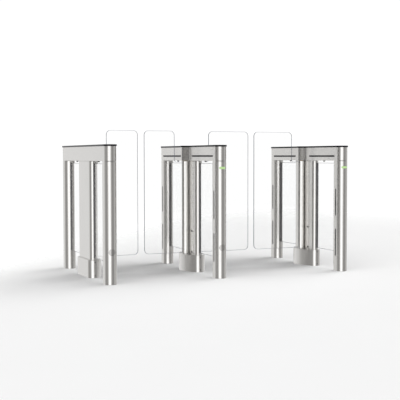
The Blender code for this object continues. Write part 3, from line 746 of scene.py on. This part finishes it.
def lit_green():
    """A frosted green lens with light behind it, in soft grains."""
    base, core = colours().light, colours().light_core
    result, nodes, shader, grain = mottled("lit_green", base, 0.1, (260, 260, 260), 0.34, 0.1)
    nodes.feed(shader, "Emission Color", nodes.blend(grain, base, core))
    shader.inputs["Emission Strength"].default_value = colours().light_glow
    return result


def dark_fitting():
    """Blackened screws and moulded domes, slightly uneven."""
    return mottled("dark_fitting", colours().fitting, 0.3, (1200, 1200, 1200), 0.34, 0.16, 0.3)[0]


def black_rubber():
    """Extruded glazing rubber with a fine matt skin."""
    return mottled("black_rubber", colours().rubber, 0.2, (1500, 1500, 300), 0.6, 0.1)[0]


def turned_bronze():
    """Bearing bronze with fine turning rings."""
    return mottled("turned_bronze", colours().bronze, 0.15, (40, 40, 4000), 0.34, 0.16, 1.0)[0]


def motor_paint():
    """Grey housing paint with a light orange peel."""
    made_of = mottled("motor_paint", colours().motor, 0.1, (700, 700, 700), 0.5, 0.16)
    relief(*made_of[1:], WAVINESS)
    return made_of[0]


def studio_floor():
    """Pale floor that fades out with distance from the middle, and sooner along BACK_WAY, so that
    the white round it shows: what is left = (1 - far fade) * (1 - back fade). The back fade is
    painted light: it whitens the floor behind the left pedestal, over the shade that falls there."""
    studio = bpy.context.scene.turnstile_studio
    result, nodes, shader, _ = mottled("studio_floor", studio.floor, 0.006, (2, 2, 2), 0.9, 0.02)
    shader.inputs["Specular IOR Level"].default_value = 0.0
    split = nodes.add("SeparateXYZ", None, {0: nodes.add("TexCoord", output=3)})
    x, y, _ = (Wire(nodes, output) for output in split.socket.node.outputs)
    far = (x * x + y * y).of("SQRT").fade(studio.fade_start, studio.fade_end)
    # Painted light: the back fade whitens the floor behind the left pedestal, over its shade
    back = (BACK_WAY[0] * x + BACK_WAY[1] * y).fade(studio.back_start, studio.back_end)
    clear = nodes.add("BsdfTransparent")
    mixed = nodes.add("MixShader", None, {0: 1 - (1 - far) * (1 - back), 2: clear})
    nodes.tree.links.new(shader.outputs[0], mixed.socket.node.inputs[1])
    nodes.feed(nodes.tree.nodes["Material Output"], "Surface", mixed)
    return result


# Pieces


def section(pedestal):
    """A pedestal's middle, its width and its whole length, from the boxes of its column and head."""
    low, high = box(f"{pedestal}_front_column")
    head_low, head_high = box(f"{pedestal}_head_beam")
    return (low[0] + high[0]) / 2, high[0] - low[0], head_high[1] - head_low[1]


def swell_of(node, pedestal):
    """How far a cover swells past the plain stadium on its wing sides."""
    centre, width, _ = section(pedestal)
    low, high = box(node)
    return max(centre - low[0], high[0] - centre) - width / 2


def plinth_form(pedestal):
    """The outline of a pedestal's plinth cover."""
    cover = f"{pedestal}_plinth_cover"
    centre, width, _ = section(pedestal)
    low, high = box(cover)
    size = (width, high[1] - low[1])
    return plinth_outline((centre, 0), size, swell_of(cover, pedestal), WING_SIDES[pedestal])


def head_form(pedestal):
    """The outline of a pedestal's head beam, which its lid follows."""
    centre, width, along = section(pedestal)
    swell = swell_of(f"{pedestal}_head_beam", pedestal)
    return head_outline((centre, 0), (width, along), swell, WING_SIDES[pedestal])


def post_of(pedestal, side):
    """The upright axis and radius of the wing post on one side of a pedestal."""
    for name, way in WINGS.items():
        low, high = box(f"{name}_post")
        centre = (low[0] + high[0]) / 2
        if way == side and abs(centre - section(pedestal)[0]) < section(pedestal)[1]:
            return np.array([centre, 0.0]), (high[0] - low[0]) / 2
    raise RuntimeError(f"{pedestal} has no wing post on its {hand(side)} side")


def drive_size(pedestal):
    """Width and length of the middle column, between the wing posts and the fixed panes."""
    side = WING_SIDES[pedestal][0]
    axis, radius = post_of(pedestal, side)
    post_gap = 5 * sizes().seat_gap
    width = 2 * (abs(axis[0] - section(pedestal)[0]) - radius - post_gap)
    near = box(f"{pedestal}_rear_infill_pane")[0][1]
    return width, 2 * (near + sizes().groove_depth)


def groove(pedestal, place_name, nose, inwards):
    """The slit in a round column end that takes a pane's edge, as a cutter."""
    gap = sizes().seat_gap
    low, high = box(f"{pedestal}_{place_name}_infill_pane")
    y = sorted((nose - inwards * PAST, nose + inwards * (sizes().groove_depth + gap)))
    return brick((low[0] - gap, y[0], low[2] - gap), (high[0] + gap, y[1], high[2] + gap))


def column_windows(pedestal, place_name, side):
    """The two upright slots in front of a lens bar, as cutters."""
    bar = f"{pedestal}_{place_name}_sensor_bar_{hand(side)}"
    x, y, _ = middle(bar)
    bottom, top = (corner[2] for corner in box(bar))
    reach, margin = sizes().column_slot, sizes().slot_margin
    spans = ((bottom + margin, bottom + margin + reach), (top - margin - reach, top - margin))
    size = (sizes().column_slot_width, reach)
    return [slab(pill((y, sum(span) / 2), size), x - PAST, x + PAST, facing_x) for span in spans]


def head_windows(pedestal, side):
    """The two long level slots in front of a head's lens bar, as cutters."""
    bar = f"{pedestal}_head_sensor_bar_{hand(side)}"
    x, _, z = middle(bar)
    near, far = sizes().head_slot_start, box(bar)[1][1] - sizes().slot_margin
    size = (far - near, sizes().head_slot_width)
    spots = [(end * (near + far) / 2, z) for end in ENDS.values()]
    return [slab(pill(spot, size), x - PAST, x + PAST, facing_x) for spot in spots]


def light_outline(node, grow=0.0):
    x, _, z = middle(node)
    return pill((x, z), (sizes().light_length + 2 * grow, sizes().light_width + 2 * grow), 16)


def cap_outline(node, grow=0.0):
    x, _, z = middle(node)
    return circle((x, z), sizes().cap_diameter / 2 + grow)


# Each nose fitting's outline and its material, under the word that ends its CAD node's name
NOSE_FITTINGS = {"status_light": (light_outline, lit_green), "nose_cap": (cap_outline, cap_steel)}


def nose_openings(pedestal):
    """The openings in a front column's nose for its light and its cap, as cutters."""
    y = box(f"{pedestal}_front_column")[0][1]
    forms = []
    for kind, (outline, _) in NOSE_FITTINGS.items():
        node = f"{pedestal}_{kind}"
        if node in FRAME["nodes"]:
            forms.append(slab(outline(node), y - PAST, y + 3 * PAST, facing_y))
    return forms


def end_column(pedestal, place_name):
    """A tube of stadium section on its foot plate, opened for its pane, sensors and nose fittings."""
    name = f"{pedestal}_{place_name}_column"
    low, high = box(name)
    wall, foot, seam = sizes().column_wall, sizes().foot_plate, sizes().seam
    outline = stadium((low + high)[:2] / 2, (high - low)[:2])
    profile = [(None, 0, 0), (0, 0, sizes().edge_round), (0, high[2] - seam, seam * SEAM_ROUND)]
    profile += [(-seam / 2, high[2], 0), (-wall, high[2], 0), (-wall, foot, 0)]
    tube = piece(f"{name}_shell", carried(outline, eased(profile + [(None, foot, 0)])))
    end = ENDS[place_name]
    inner_nose = low[1] if end > 0 else high[1]
    forms = [groove(pedestal, place_name, inner_nose, end)]
    for side in WING_SIDES[pedestal]:
        forms += column_windows(pedestal, place_name, side)
    if end < 0:
        forms += nose_openings(pedestal)
    cut(tube, *forms)
    return dress(tube, upright_steel, [name])


class TURNSTILE_OT_end_columns(bpy.types.Operator):
    """Makes the front and rear columns of each pedestal"""

    bl_idname = "turnstile.end_columns"
    bl_label = "End Columns"

    def execute(self, context):
        for pedestal in WING_SIDES:
            for place_name in ENDS:
                end_column(pedestal, place_name)
        return {"FINISHED"}


class TURNSTILE_OT_drive_columns(bpy.types.Operator):
    """Makes the middle columns, with their base plates and the brackets under the wing posts"""

    bl_idname = "turnstile.drive_columns"
    bl_label = "Drive Columns"

    def execute(self, context):
        for pedestal in WING_SIDES:
            self.make(pedestal)
        return {"FINISHED"}

    def make(self, pedestal):
        """A stadium tube, a plate of the plinth's outline, and a round-ended bracket for each post."""
        name = f"{pedestal}_drive_column"
        centre = section(pedestal)[0]
        size, plate, wall = drive_size(pedestal), sizes().base_plate, sizes().drive_wall
        top, seam = box(name)[1][2], sizes().seam
        profile = [(None, 0, 0), (0, 0, 0), (0, top - seam, seam * SEAM_ROUND)]
        profile += [(-seam / 2, top, 0), (-wall, top, 0)]
        profile += [(-wall, plate, 0), (None, plate, 0)]
        parts = [carried(stadium((centre, 0), size), eased(profile))]
        inset = -sizes().plinth_wall - sizes().seat_gap
        rim = [(None, 0), (inset, 0), (inset, plate), (None, plate)]
        parts.append(carried(plinth_form(pedestal), rim))
        holes = []
        for side in WING_SIDES[pedestal]:
            axis, radius = post_of(pedestal, side)
            bush_low, bush_high = box(f"{self.wing_of(axis)}_lower_bearing")
            under = bush_low[2] - sizes().seat_gap
            over = under + BRACKET
            reach = abs(axis[0] - centre)
            tongue = pill(((axis[0] + centre) / 2, 0), (reach + 2 * radius, 2 * radius), 24)
            parts.append(slab(tongue, under, over))
            seat = (bush_high[0] - bush_low[0]) / 2 - BUSH_FLANGE + sizes().seat_gap
            holes.append(slab(circle(axis, seat), under - PAST, over + PAST))
        column = piece(f"{name}_shell", *parts)
        nose = size[1] / 2
        forms = [groove(pedestal, "front", -nose, 1), groove(pedestal, "rear", nose, -1)]
        cut(column, *forms, *holes, joined=True)
        return dress(column, upright_steel, [name])

    def wing_of(self, axis):
        return min(WINGS, key=lambda name: abs(middle(f"{name}_post")[0] - axis[0]))


class TURNSTILE_OT_plinth_covers(bpy.types.Operator):
    """Makes the swelling covers round the middle columns' feet"""

    bl_idname = "turnstile.plinth_covers"
    bl_label = "Plinth Covers"

    def execute(self, context):
        for pedestal in WING_SIDES:
            self.make(pedestal)
        return {"FINISHED"}

    def make(self, pedestal):
        """The plinth's outline carried up its wall, over its rounded edge and across its top."""
        name = f"{pedestal}_plinth_cover"
        top, wall = box(name)[1][2], sizes().plinth_wall
        profile = [(None, top - wall, 0), (-wall, top - wall, 0), (-wall, 0, 0), (0, 0, 0)]
        profile += [(0, top, 2 * sizes().edge_round), (None, top, 0)]
        cover = piece(f"{name}_shell", carried(plinth_form(pedestal), eased(profile)))
        gap = sizes().seat_gap
        column = drive_size(pedestal)
        holes = [stadium((section(pedestal)[0], 0), (column[0] + 2 * gap, column[1] + 2 * gap))]
        for side in WING_SIDES[pedestal]:
            axis, radius = post_of(pedestal, side)
            holes.append(circle(axis, radius - PLINTH_HOLE_INSET))
        cut(cover, *[slab(hole, top - 2 * PAST, top + 2 * PAST) for hole in holes])
        return dress(cover, upright_steel, [name])


class TURNSTILE_OT_head_beams(bpy.types.Operator):
    """Makes the head beams with their swellings, sensor windows and bearing bosses"""

    bl_idname = "turnstile.head_beams"
    bl_label = "Head Beams"

    def execute(self, context):
        for pedestal in WING_SIDES:
            self.make(pedestal)
        return {"FINISHED"}

    def make(self, pedestal):
        """A tray whose outline is carried across its floor, up its outer wall and down its inner one."""
        name = f"{pedestal}_head_beam"
        under, top = box(name)[0][2], box(name)[1][2]
        wall, edge, seam = sizes().head_wall, sizes().edge_round, sizes().seam
        floor = under + wall
        profile = [(None, under, 0), (-seam / 2, under, 0), (0, under + seam, seam * SEAM_ROUND)]
        profile += [(0, top, edge / 2), (-wall, top, 0), (-wall, floor, 0), (None, floor, 0)]
        parts = [carried(head_form(pedestal), eased(profile))]
        forms = []
        for side in WING_SIDES[pedestal]:
            axis, radius = post_of(pedestal, side)
            boss = circle(axis, radius - BOSS_INSET)
            parts.append(slab(boss, floor - wall / 2, floor + BOSS_HEIGHT))
            forms.append(slab(circle(axis, radius - BORE_INSET), under - PAST, floor + 2 * PAST))
            forms += head_windows(pedestal, side)
        beam = piece(f"{name}_shell", *parts)
        cut(beam, *forms, joined=True)
        return dress(beam, level_steel, [name])


class TURNSTILE_OT_top_lids(bpy.types.Operator):
    """Makes the polished black lids"""

    bl_idname = "turnstile.top_lids"
    bl_label = "Top Lids"

    def execute(self, context):
        for pedestal in WING_SIDES:
            self.make(pedestal)
        return {"FINISHED"}

    def make(self, pedestal):
        """The head's outline carried round a lip, out under the overhang, over the edge and across."""
        name = f"{pedestal}_top_lid"
        low, high = box(name)
        under = box(f"{pedestal}_head_beam")[1][2] + sizes().seat_gap
        over = (high[1] - low[1] - section(pedestal)[2]) / 2
        lip = -sizes().head_wall - sizes().seat_gap
        inner = lip - sizes().lid_lip
        profile = [(None, under, 0), (inner, under, 0), (inner, low[2], 0), (lip, low[2], 0)]
        profile += [(lip, under, 0), (over, under, sizes().lid_round / 2)]
        profile += [(over, high[2], sizes().lid_round), (None, high[2], 0)]
        lid = piece(f"{name}_shell", carried(head_form(pedestal), eased(profile)))
        return dress(lid, gloss_black, [name])


def pane(name, outline, low, high, bevel, place, axis, node, body=FIXED):
    """A sheet of glass: its outline carried across its thickness, bevelled along both edges.
    It throws no shadow, because light passes through clear glass."""
    profile = [(None, low), (-bevel, low), (0, low + bevel), (0, high - bevel), (-bevel, high)]
    sheet = piece(name, carried(outline, profile + [(None, high)], place))
    dress(sheet, clear_glass, [node], body)
    edge_band(sheet, axis, glass_edge)
    sheet.visible_shadow = False
    return sheet


class TURNSTILE_OT_infill_panes(bpy.types.Operator):
    """Makes the fixed glass panes between the columns"""

    bl_idname = "turnstile.infill_panes"
    bl_label = "Infill Panes"

    def execute(self, context):
        for pedestal in WING_SIDES:
            for place_name in ENDS:
                self.make(f"{pedestal}_{place_name}_infill_pane")
        return {"FINISHED"}

    def make(self, name):
        """A pane with rounded corners, across its thickness, and its beads."""
        low, high = box(name)
        spots = ((low[1], low[2]), (high[1], low[2]), (high[1], high[2]), (low[1], high[2]))
        corners = [(*spot, sizes().pane_corner) for spot in spots]
        outline = rounded(corners, ((low + high) / 2)[1:])
        pane(f"{name}_glass", outline, low[0], high[0], sizes().pane_bevel, facing_x, 0, name)
        self.beads(name, low, high)

    def beads(self, name, low, high):
        """Four upright strips of rounded section, one on each face of the pane at each column."""
        rise, depth = sizes().bead_rise, sizes().groove_depth
        ends = ((low[1] + depth, sizes().bead_width), (high[1] - depth, -sizes().wide_bead))
        strips = []
        for face, way in ((low[0], -1), (high[0], 1)):
            for edge, width in ends:
                across = sorted((face, face + way * rise))
                along = sorted((edge, edge + width))
                spots = zip(np.repeat(across, 2), along + along[::-1])
                corners = [(*spot, BEAD_CORNER) for spot in spots]
                strip = rounded(corners, (sum(across) / 2, sum(along) / 2))
                profile = [(None, low[2], 0), (0, low[2], BEAD_END), (0, high[2], BEAD_END)]
                strips.append(carried(strip, eased(profile + [(None, high[2], 0)])))
        return dress(piece(f"{name}_beads", *strips), black_rubber)


class TURNSTILE_OT_wings(bpy.types.Operator):
    """Makes the four wings, each a round post and a notched glass leaf"""

    bl_idname = "turnstile.wings"
    bl_label = "Wings"

    def execute(self, context):
        for name, side in WINGS.items():
            self.post(name, side)
            self.leaf(name, side)
        return {"FINISHED"}

    def post(self, name, side):
        """A turned bar on its shoulder and shaft, slit on one side for the glass."""
        low, high = box(f"{name}_post")
        centre, radius = middle(f"{name}_post")[:2] * (1, 0), (high[0] - low[0]) / 2
        glass_low, glass_high = box(f"{name}_pane")
        edge = sizes().post_edge
        foot, top = glass_low[2] - POST_BELOW, sizes().notch_height + POST_ABOVE
        shoulder = box(f"{name}_lower_bearing")[1][2] + sizes().seat_gap
        profile = [(0, low[2]), (SHAFT_RADIUS, low[2]), (SHAFT_RADIUS, shoulder)]
        profile += [(SHOULDER_RADIUS, shoulder), (SHOULDER_RADIUS, foot), (radius - edge, foot)]
        profile += [(radius, foot + edge), (radius, top - edge), (radius - edge, top)]
        profile += [(SHAFT_RADIUS, top), (SHAFT_RADIUS, high[2]), (0, high[2])]
        bar = piece(f"{name}_post_bar", turned(centre, profile))
        gap = sizes().seat_gap
        x = sorted(centre[0] + side * reach for reach in (GLASS_INSET - gap, radius + PAST))
        slit_low = (x[0], glass_low[1] - gap, glass_low[2] - gap)
        slit_high = (x[1], glass_high[1] + gap, sizes().notch_height + gap)
        cut(bar, brick(slit_low, slit_high))
        return dress(bar, post_steel, [f"{name}_post"], name)

    def leaf(self, name, side):
        """The notched leaf: its lower part meets the post, its upper part stands clear of the head."""
        node = f"{name}_pane"
        low, high = box(node)
        axis = middle(f"{name}_post")[0]
        near, far = sorted((abs(low[0] - axis), abs(high[0] - axis)))
        free, held = sizes().wing_corner, sizes().wing_held
        back, notch = sizes().wing_setback, sizes().notch_height
        corners = [
            (near, low[2], held),
            (far, low[2], free),
            (far, high[2], free),
            (back, high[2], free),
            (back, notch, sizes().wing_notch),
            (near, notch, held),
        ]
        outline = rounded(corners, (LEAF_CENTRE[0] * far, LEAF_CENTRE[1] * notch))
        flat = Outline(outline.points * (side, 1) + (axis, 0), outline.spine * (side, 1) + (axis, 0))
        bevel = sizes().wing_bevel
        return pane(f"{name}_glass", flat, low[1], high[1], bevel, facing_y, 1, node, name)


class TURNSTILE_OT_nose_fittings(bpy.types.Operator):
    """Makes the green status lights and the round caps in the columns' noses"""

    bl_idname = "turnstile.nose_fittings"
    bl_label = "Nose Fittings"

    def execute(self, context):
        for pedestal in WING_SIDES:
            for kind in NOSE_FITTINGS:
                if f"{pedestal}_{kind}" in FRAME["nodes"]:
                    self.make(pedestal, kind)
        return {"FINISHED"}

    def make(self, pedestal, kind):
        """A pad on the nose, set back a hair, with an eased rim and sides that go through the wall."""
        node = f"{pedestal}_{kind}"
        outline, maker = NOSE_FITTINGS[kind]
        low, high = box(f"{pedestal}_front_column")
        radius = (high[0] - low[0]) / 2
        axis = ((low[0] + high[0]) / 2, low[1] + radius)
        face, back = radius - sizes().seat_gap, radius - sizes().column_wall - sizes().seat_gap
        form = outline(node, -sizes().seat_gap)
        shares = np.linspace(0, 0.97, 9)
        profile = [(part, face) for part in shares] + [(0.99, face - NOSE_RIM / 4)]
        profile += [(1, face - NOSE_RIM), (1, back)] + [(part, back) for part in shares[::-1]]
        pad = piece(f"{node}_pad", on_nose(form, axis, profile))
        dress(pad, maker, [node])
        if kind == "nose_cap":
            self.marks(node, axis, radius)

    def marks(self, node, axis, radius):
        """Two short level lines on the nose, one on each side of the cap, as thin pads."""
        z = middle(node)[2]
        reach = sizes().cap_diameter / 2 + MARK_GAP
        back, front = radius - SUNK, radius + MARK_RISE
        thin = [(0, back), (1, back), (1, front), (0, front)]
        lines = [
            on_nose(pill((axis[0] + side * reach, z), MARK_SIZE, 6), axis, thin)
            for side in (-1, 1)
        ]
        return dress(piece(f"{node}_marks", *lines), dark_fitting)


class TURNSTILE_OT_small_fittings(bpy.types.Operator):
    """Makes the domes under the heads and the screws on the middle columns and plinths"""

    bl_idname = "turnstile.small_fittings"
    bl_label = "Small Fittings"

    def execute(self, context):
        for pedestal in WING_SIDES:
            self.domes(pedestal)
            self.side_screws(pedestal)
            self.plinth_screws(pedestal)
        return {"FINISHED"}

    def domes(self, pedestal):
        """Half an ellipse turned about its upright axis, on a short collar, under the head."""
        centre = section(pedestal)[0]
        z = box(f"{pedestal}_head_beam")[0][2]
        radius, drop = sizes().dome_diameter / 2, sizes().dome_drop
        collar = drop * 0.4
        turn = np.linspace(0, math.pi / 2, 9)
        arc = [(radius * math.sin(t), z - collar - (drop - collar) * math.cos(t)) for t in turn]
        profile = [(0, arc[0][1])] + arc[1:] + [(radius, z + SUNK), (0, z + SUNK)]
        for place_name, end in ENDS.items():
            spot = (centre, end * sizes().dome_spread)
            dome = piece(f"{pedestal}_dome_{place_name}", turned(spot, profile, 32))
            dress(dome, dark_fitting)

    def screw(self, name, spot, face, out, back, radius, steps, place):
        """A button head turned about a spot on a face. Each height is the face + out * rise * radius."""
        profile = [(part * radius, face + out * rise * radius) for part, rise in SOCKET_HEAD]
        profile += [(radius, back), (0, back)]
        head = piece(name, turned(spot, profile, steps, place))
        dress(head, dark_fitting)

    def side_screws(self, pedestal):
        """Two screws on the middle column's flat, by each wing."""
        radius = sizes().screw_diameter / 2
        for side in WING_SIDES[pedestal]:
            face = section(pedestal)[0] + side * drive_size(pedestal)[0] / 2
            for number, z in enumerate(SIDE_SCREWS):
                name = f"{pedestal}_side_screw_{hand(side)}_{number}"
                spot, back = (SIDE_SCREW_Y, z), face - side * SUNK
                self.screw(name, spot, face, side, back, radius, 32, facing_x)

    def plinth_screws(self, pedestal):
        """Two small screws in the plinth's front nose."""
        centre = section(pedestal)[0]
        nose = box(f"{pedestal}_plinth_cover")[0][1]
        radius = sizes().plinth_screw / 2
        for number, z in enumerate(PLINTH_SCREWS):
            name = f"{pedestal}_plinth_screw_{number}"
            back = nose + 2 * SUNK
            self.screw(name, (centre, z), nose, -PLINTH_SCREW_RISE, back, radius, 24, facing_y)


class TURNSTILE_OT_inner_parts(bpy.types.Operator):
    """Finishes the lens bars, bearings and gear motors that keep their CAD shape"""

    bl_idname = "turnstile.inner_parts"
    bl_label = "Inner Parts"

    def execute(self, context):
        finishes = {"sensor_bar": smoked_lens, "bearing": turned_bronze, "gear_motor": motor_paint}
        for name, node in FRAME["nodes"].items():
            for word, maker in finishes.items():
                if word in name:
                    node.data.materials.clear()
                    node.data.materials.append(made(maker))
        return {"FINISHED"}


# Studio

# The camera's place, its turn in degrees and its shift to the side
CAMERA_SPOT = (-2.9511, -6.8946, 0.9021)
CAMERA_TURN = (87.3605, 0, -24.7938)
CAMERA_SHIFT = -0.0741

# Each sun's width in degrees and the place from which it shines at the origin
FRONT_SUN = (168, (0.96, -2.5, 1.96))
SIDE_SUN = (40, (3.75, 1.22, 3.08))

# The way over the floor, in X and Y, along which it fades behind the left pedestal: painted light,
# which whitens the floor over the shade there
BACK_WAY = (-0.81, 0.588)

# Half of the white behind everything, the tint that the studio's darker directions take, and where
# the studio dims, as the share of a direction that points up or down
BACKDROP = (0.525, 0.525, 0.525, 1)
WARMTH = np.array([0.02, 0.0, -0.035])
STEEP = (0.2, 0.75)

# Brightness of the studio by compass direction, as (turn from the front towards the left, value)
STUDIO_BANDS = (
    (-180, 0.86),
    (-150, 0.80),
    (-112, 0.72),
    (-84, 0.56),
    (-62, 0.61),
    (-44, 0.32),
    (-20, 0.32),
    (0, 0.62),
    (16, 1.6),
    (44, 1.6),
    (60, 0.62),
    (76, 0.35),
    (98, 0.35),
    (120, 0.47),
    (148, 0.78),
    (164, 0.90),
    (180, 0.86),
)


class TURNSTILE_OT_studio(bpy.types.Operator):
    """Makes the floor, the studio round it, its lights and the camera"""

    bl_idname = "turnstile.studio"
    bl_label = "Studio"

    def execute(self, context):
        context.scene.view_settings.view_transform = "Standard"
        self.floor(context)
        self.surroundings(context)
        self.lights(context)
        self.camera(context)
        return {"FINISHED"}

    def floor(self, context):
        """A disc on the floor, as rings of growing radius."""
        studio = context.scene.turnstile_studio
        past_fade = studio.fade_end * 1.02
        profile = [(0, 0.0)] + [(radius, 0.0) for radius in np.linspace(0.2, 1, 12) * past_fade]
        disc = piece("studio_floor_disc", turned((0, 0), profile, 96))
        disc.data.materials.append(made(studio_floor))
        disc.visible_glossy = False

    def surroundings(self, context):
        """White to the camera. Steel and lid see soft panels and darker gaps by compass direction, and
        half as much straight up and down. Matt pieces see none of it and are lit by the suns. Every
        colour is halved, because a ramp ends at 1, and the strength doubles it again."""
        world = bpy.data.worlds.new("Studio")
        world.use_nodes = True
        context.scene.world = world
        nodes = Nodes(world.node_tree)
        where = nodes.add("TexCoord", output=0)
        split = nodes.add("SeparateXYZ", None, {0: where})
        x, y, z = (Wire(nodes, output) for output in split.socket.node.outputs)
        turn = (-1 * x).of("ARCTAN2", -1 * y)
        stops = [
            ((angle + 180) / 360, value / 2 * (1 + WARMTH * max(0, 1 - value)))
            for angle, value in STUDIO_BANDS
        ]
        ramp = nodes.add("ValToRGB", {"stops": stops}, {0: turn / (2 * math.pi) + 0.5})
        ramp.socket.node.color_ramp.interpolation = "EASE"
        path = nodes.add("LightPath").socket.node.outputs
        bounces = Wire(nodes, path["Glossy Depth"]) + Wire(nodes, path["Diffuse Depth"])
        white = bounces.of("LESS_THAN", 0.5)
        values = {0: white, 6: ramp, 7: BACKDROP}
        shade = nodes.add("Mix", {"data_type": "RGBA"}, values, output=2)
        background = world.node_tree.nodes["Background"]
        nodes.feed(background, "Color", shade)
        dim = 1 - Wire(nodes, path["Is Diffuse Ray"])
        steep = z.of("ABSOLUTE").fade(*STEEP) * (1 - white)
        nodes.feed(background, "Strength", 2 * dim * (1 - 0.5 * steep))

    def lights(self, context):
        """Two suns that only light the floor and the matt pieces. The second throws the long shadows."""
        studio = context.scene.turnstile_studio
        for name, (angle, place), strength in (
            ("Front Light", FRONT_SUN, studio.front_light),
            ("Side Light", SIDE_SUN, studio.side_light),
        ):
            light = bpy.data.lights.new(name, "SUN")
            light.angle = math.radians(angle)
            light.energy = strength
            lamp = bpy.data.objects.new(name, light)
            lamp.location = place
            lamp.rotation_euler = lamp.location.to_track_quat("Z", "Y").to_euler()
            lamp.visible_camera = False
            lamp.visible_glossy = False
            lamp.visible_transmission = False
            context.scene.collection.objects.link(lamp)

    def camera(self, context):
        camera = bpy.data.cameras.new("Camera")
        camera.sensor_width = 36
        camera.lens = context.scene.turnstile_studio.lens
        camera.shift_x = CAMERA_SHIFT
        stand = bpy.data.objects.new("Camera", camera)
        stand.location = CAMERA_SPOT
        stand.rotation_euler = [math.radians(angle) for angle in CAMERA_TURN]
        context.scene.collection.objects.link(stand)
        context.scene.camera = stand


OPERATORS = (
    TURNSTILE_OT_end_columns,
    TURNSTILE_OT_drive_columns,
    TURNSTILE_OT_plinth_covers,
    TURNSTILE_OT_head_beams,
    TURNSTILE_OT_top_lids,
    TURNSTILE_OT_infill_panes,
    TURNSTILE_OT_wings,
    TURNSTILE_OT_nose_fittings,
    TURNSTILE_OT_small_fittings,
    TURNSTILE_OT_inner_parts,
    TURNSTILE_OT_studio,
)


class TURNSTILE_PT_sidebar(bpy.types.Panel):
    """Lists the turnstile's pieces and settings"""

    bl_idname = "TURNSTILE_PT_sidebar"
    bl_label = "Optical Turnstile"
    bl_space_type = "VIEW_3D"
    bl_region_type = "UI"
    bl_category = "Turnstile"

    def draw(self, context):
        column = self.layout.column()
        for operator in OPERATORS:
            column.operator(operator.bl_idname)
        for group in (
            context.scene.turnstile_sizes,
            context.scene.turnstile_colours,
            context.scene.turnstile_studio,
        ):
            for key in group.bl_rna.properties.keys():
                if key not in ("rna_type", "name"):
                    column.prop(group, key)


GROUPS = {
    "turnstile_sizes": TurnstileSizes,
    "turnstile_colours": TurnstileColours,
    "turnstile_studio": StudioSettings,
}
CLASSES = (*GROUPS.values(), *OPERATORS, TURNSTILE_PT_sidebar)


def register():
    for cls in CLASSES:
        bpy.utils.register_class(cls)
    for key, group in GROUPS.items():
        setattr(bpy.types.Scene, key, PointerProperty(type=group))


def unregister():
    for key in GROUPS:
        delattr(bpy.types.Scene, key)
    for cls in reversed(CLASSES):
        bpy.utils.unregister_class(cls)


def main():
    register()
    for operator in OPERATORS:
        group, name = operator.bl_idname.split(".")
        getattr(getattr(bpy.ops, group), name)()


if __name__ == "__main__":
    main()
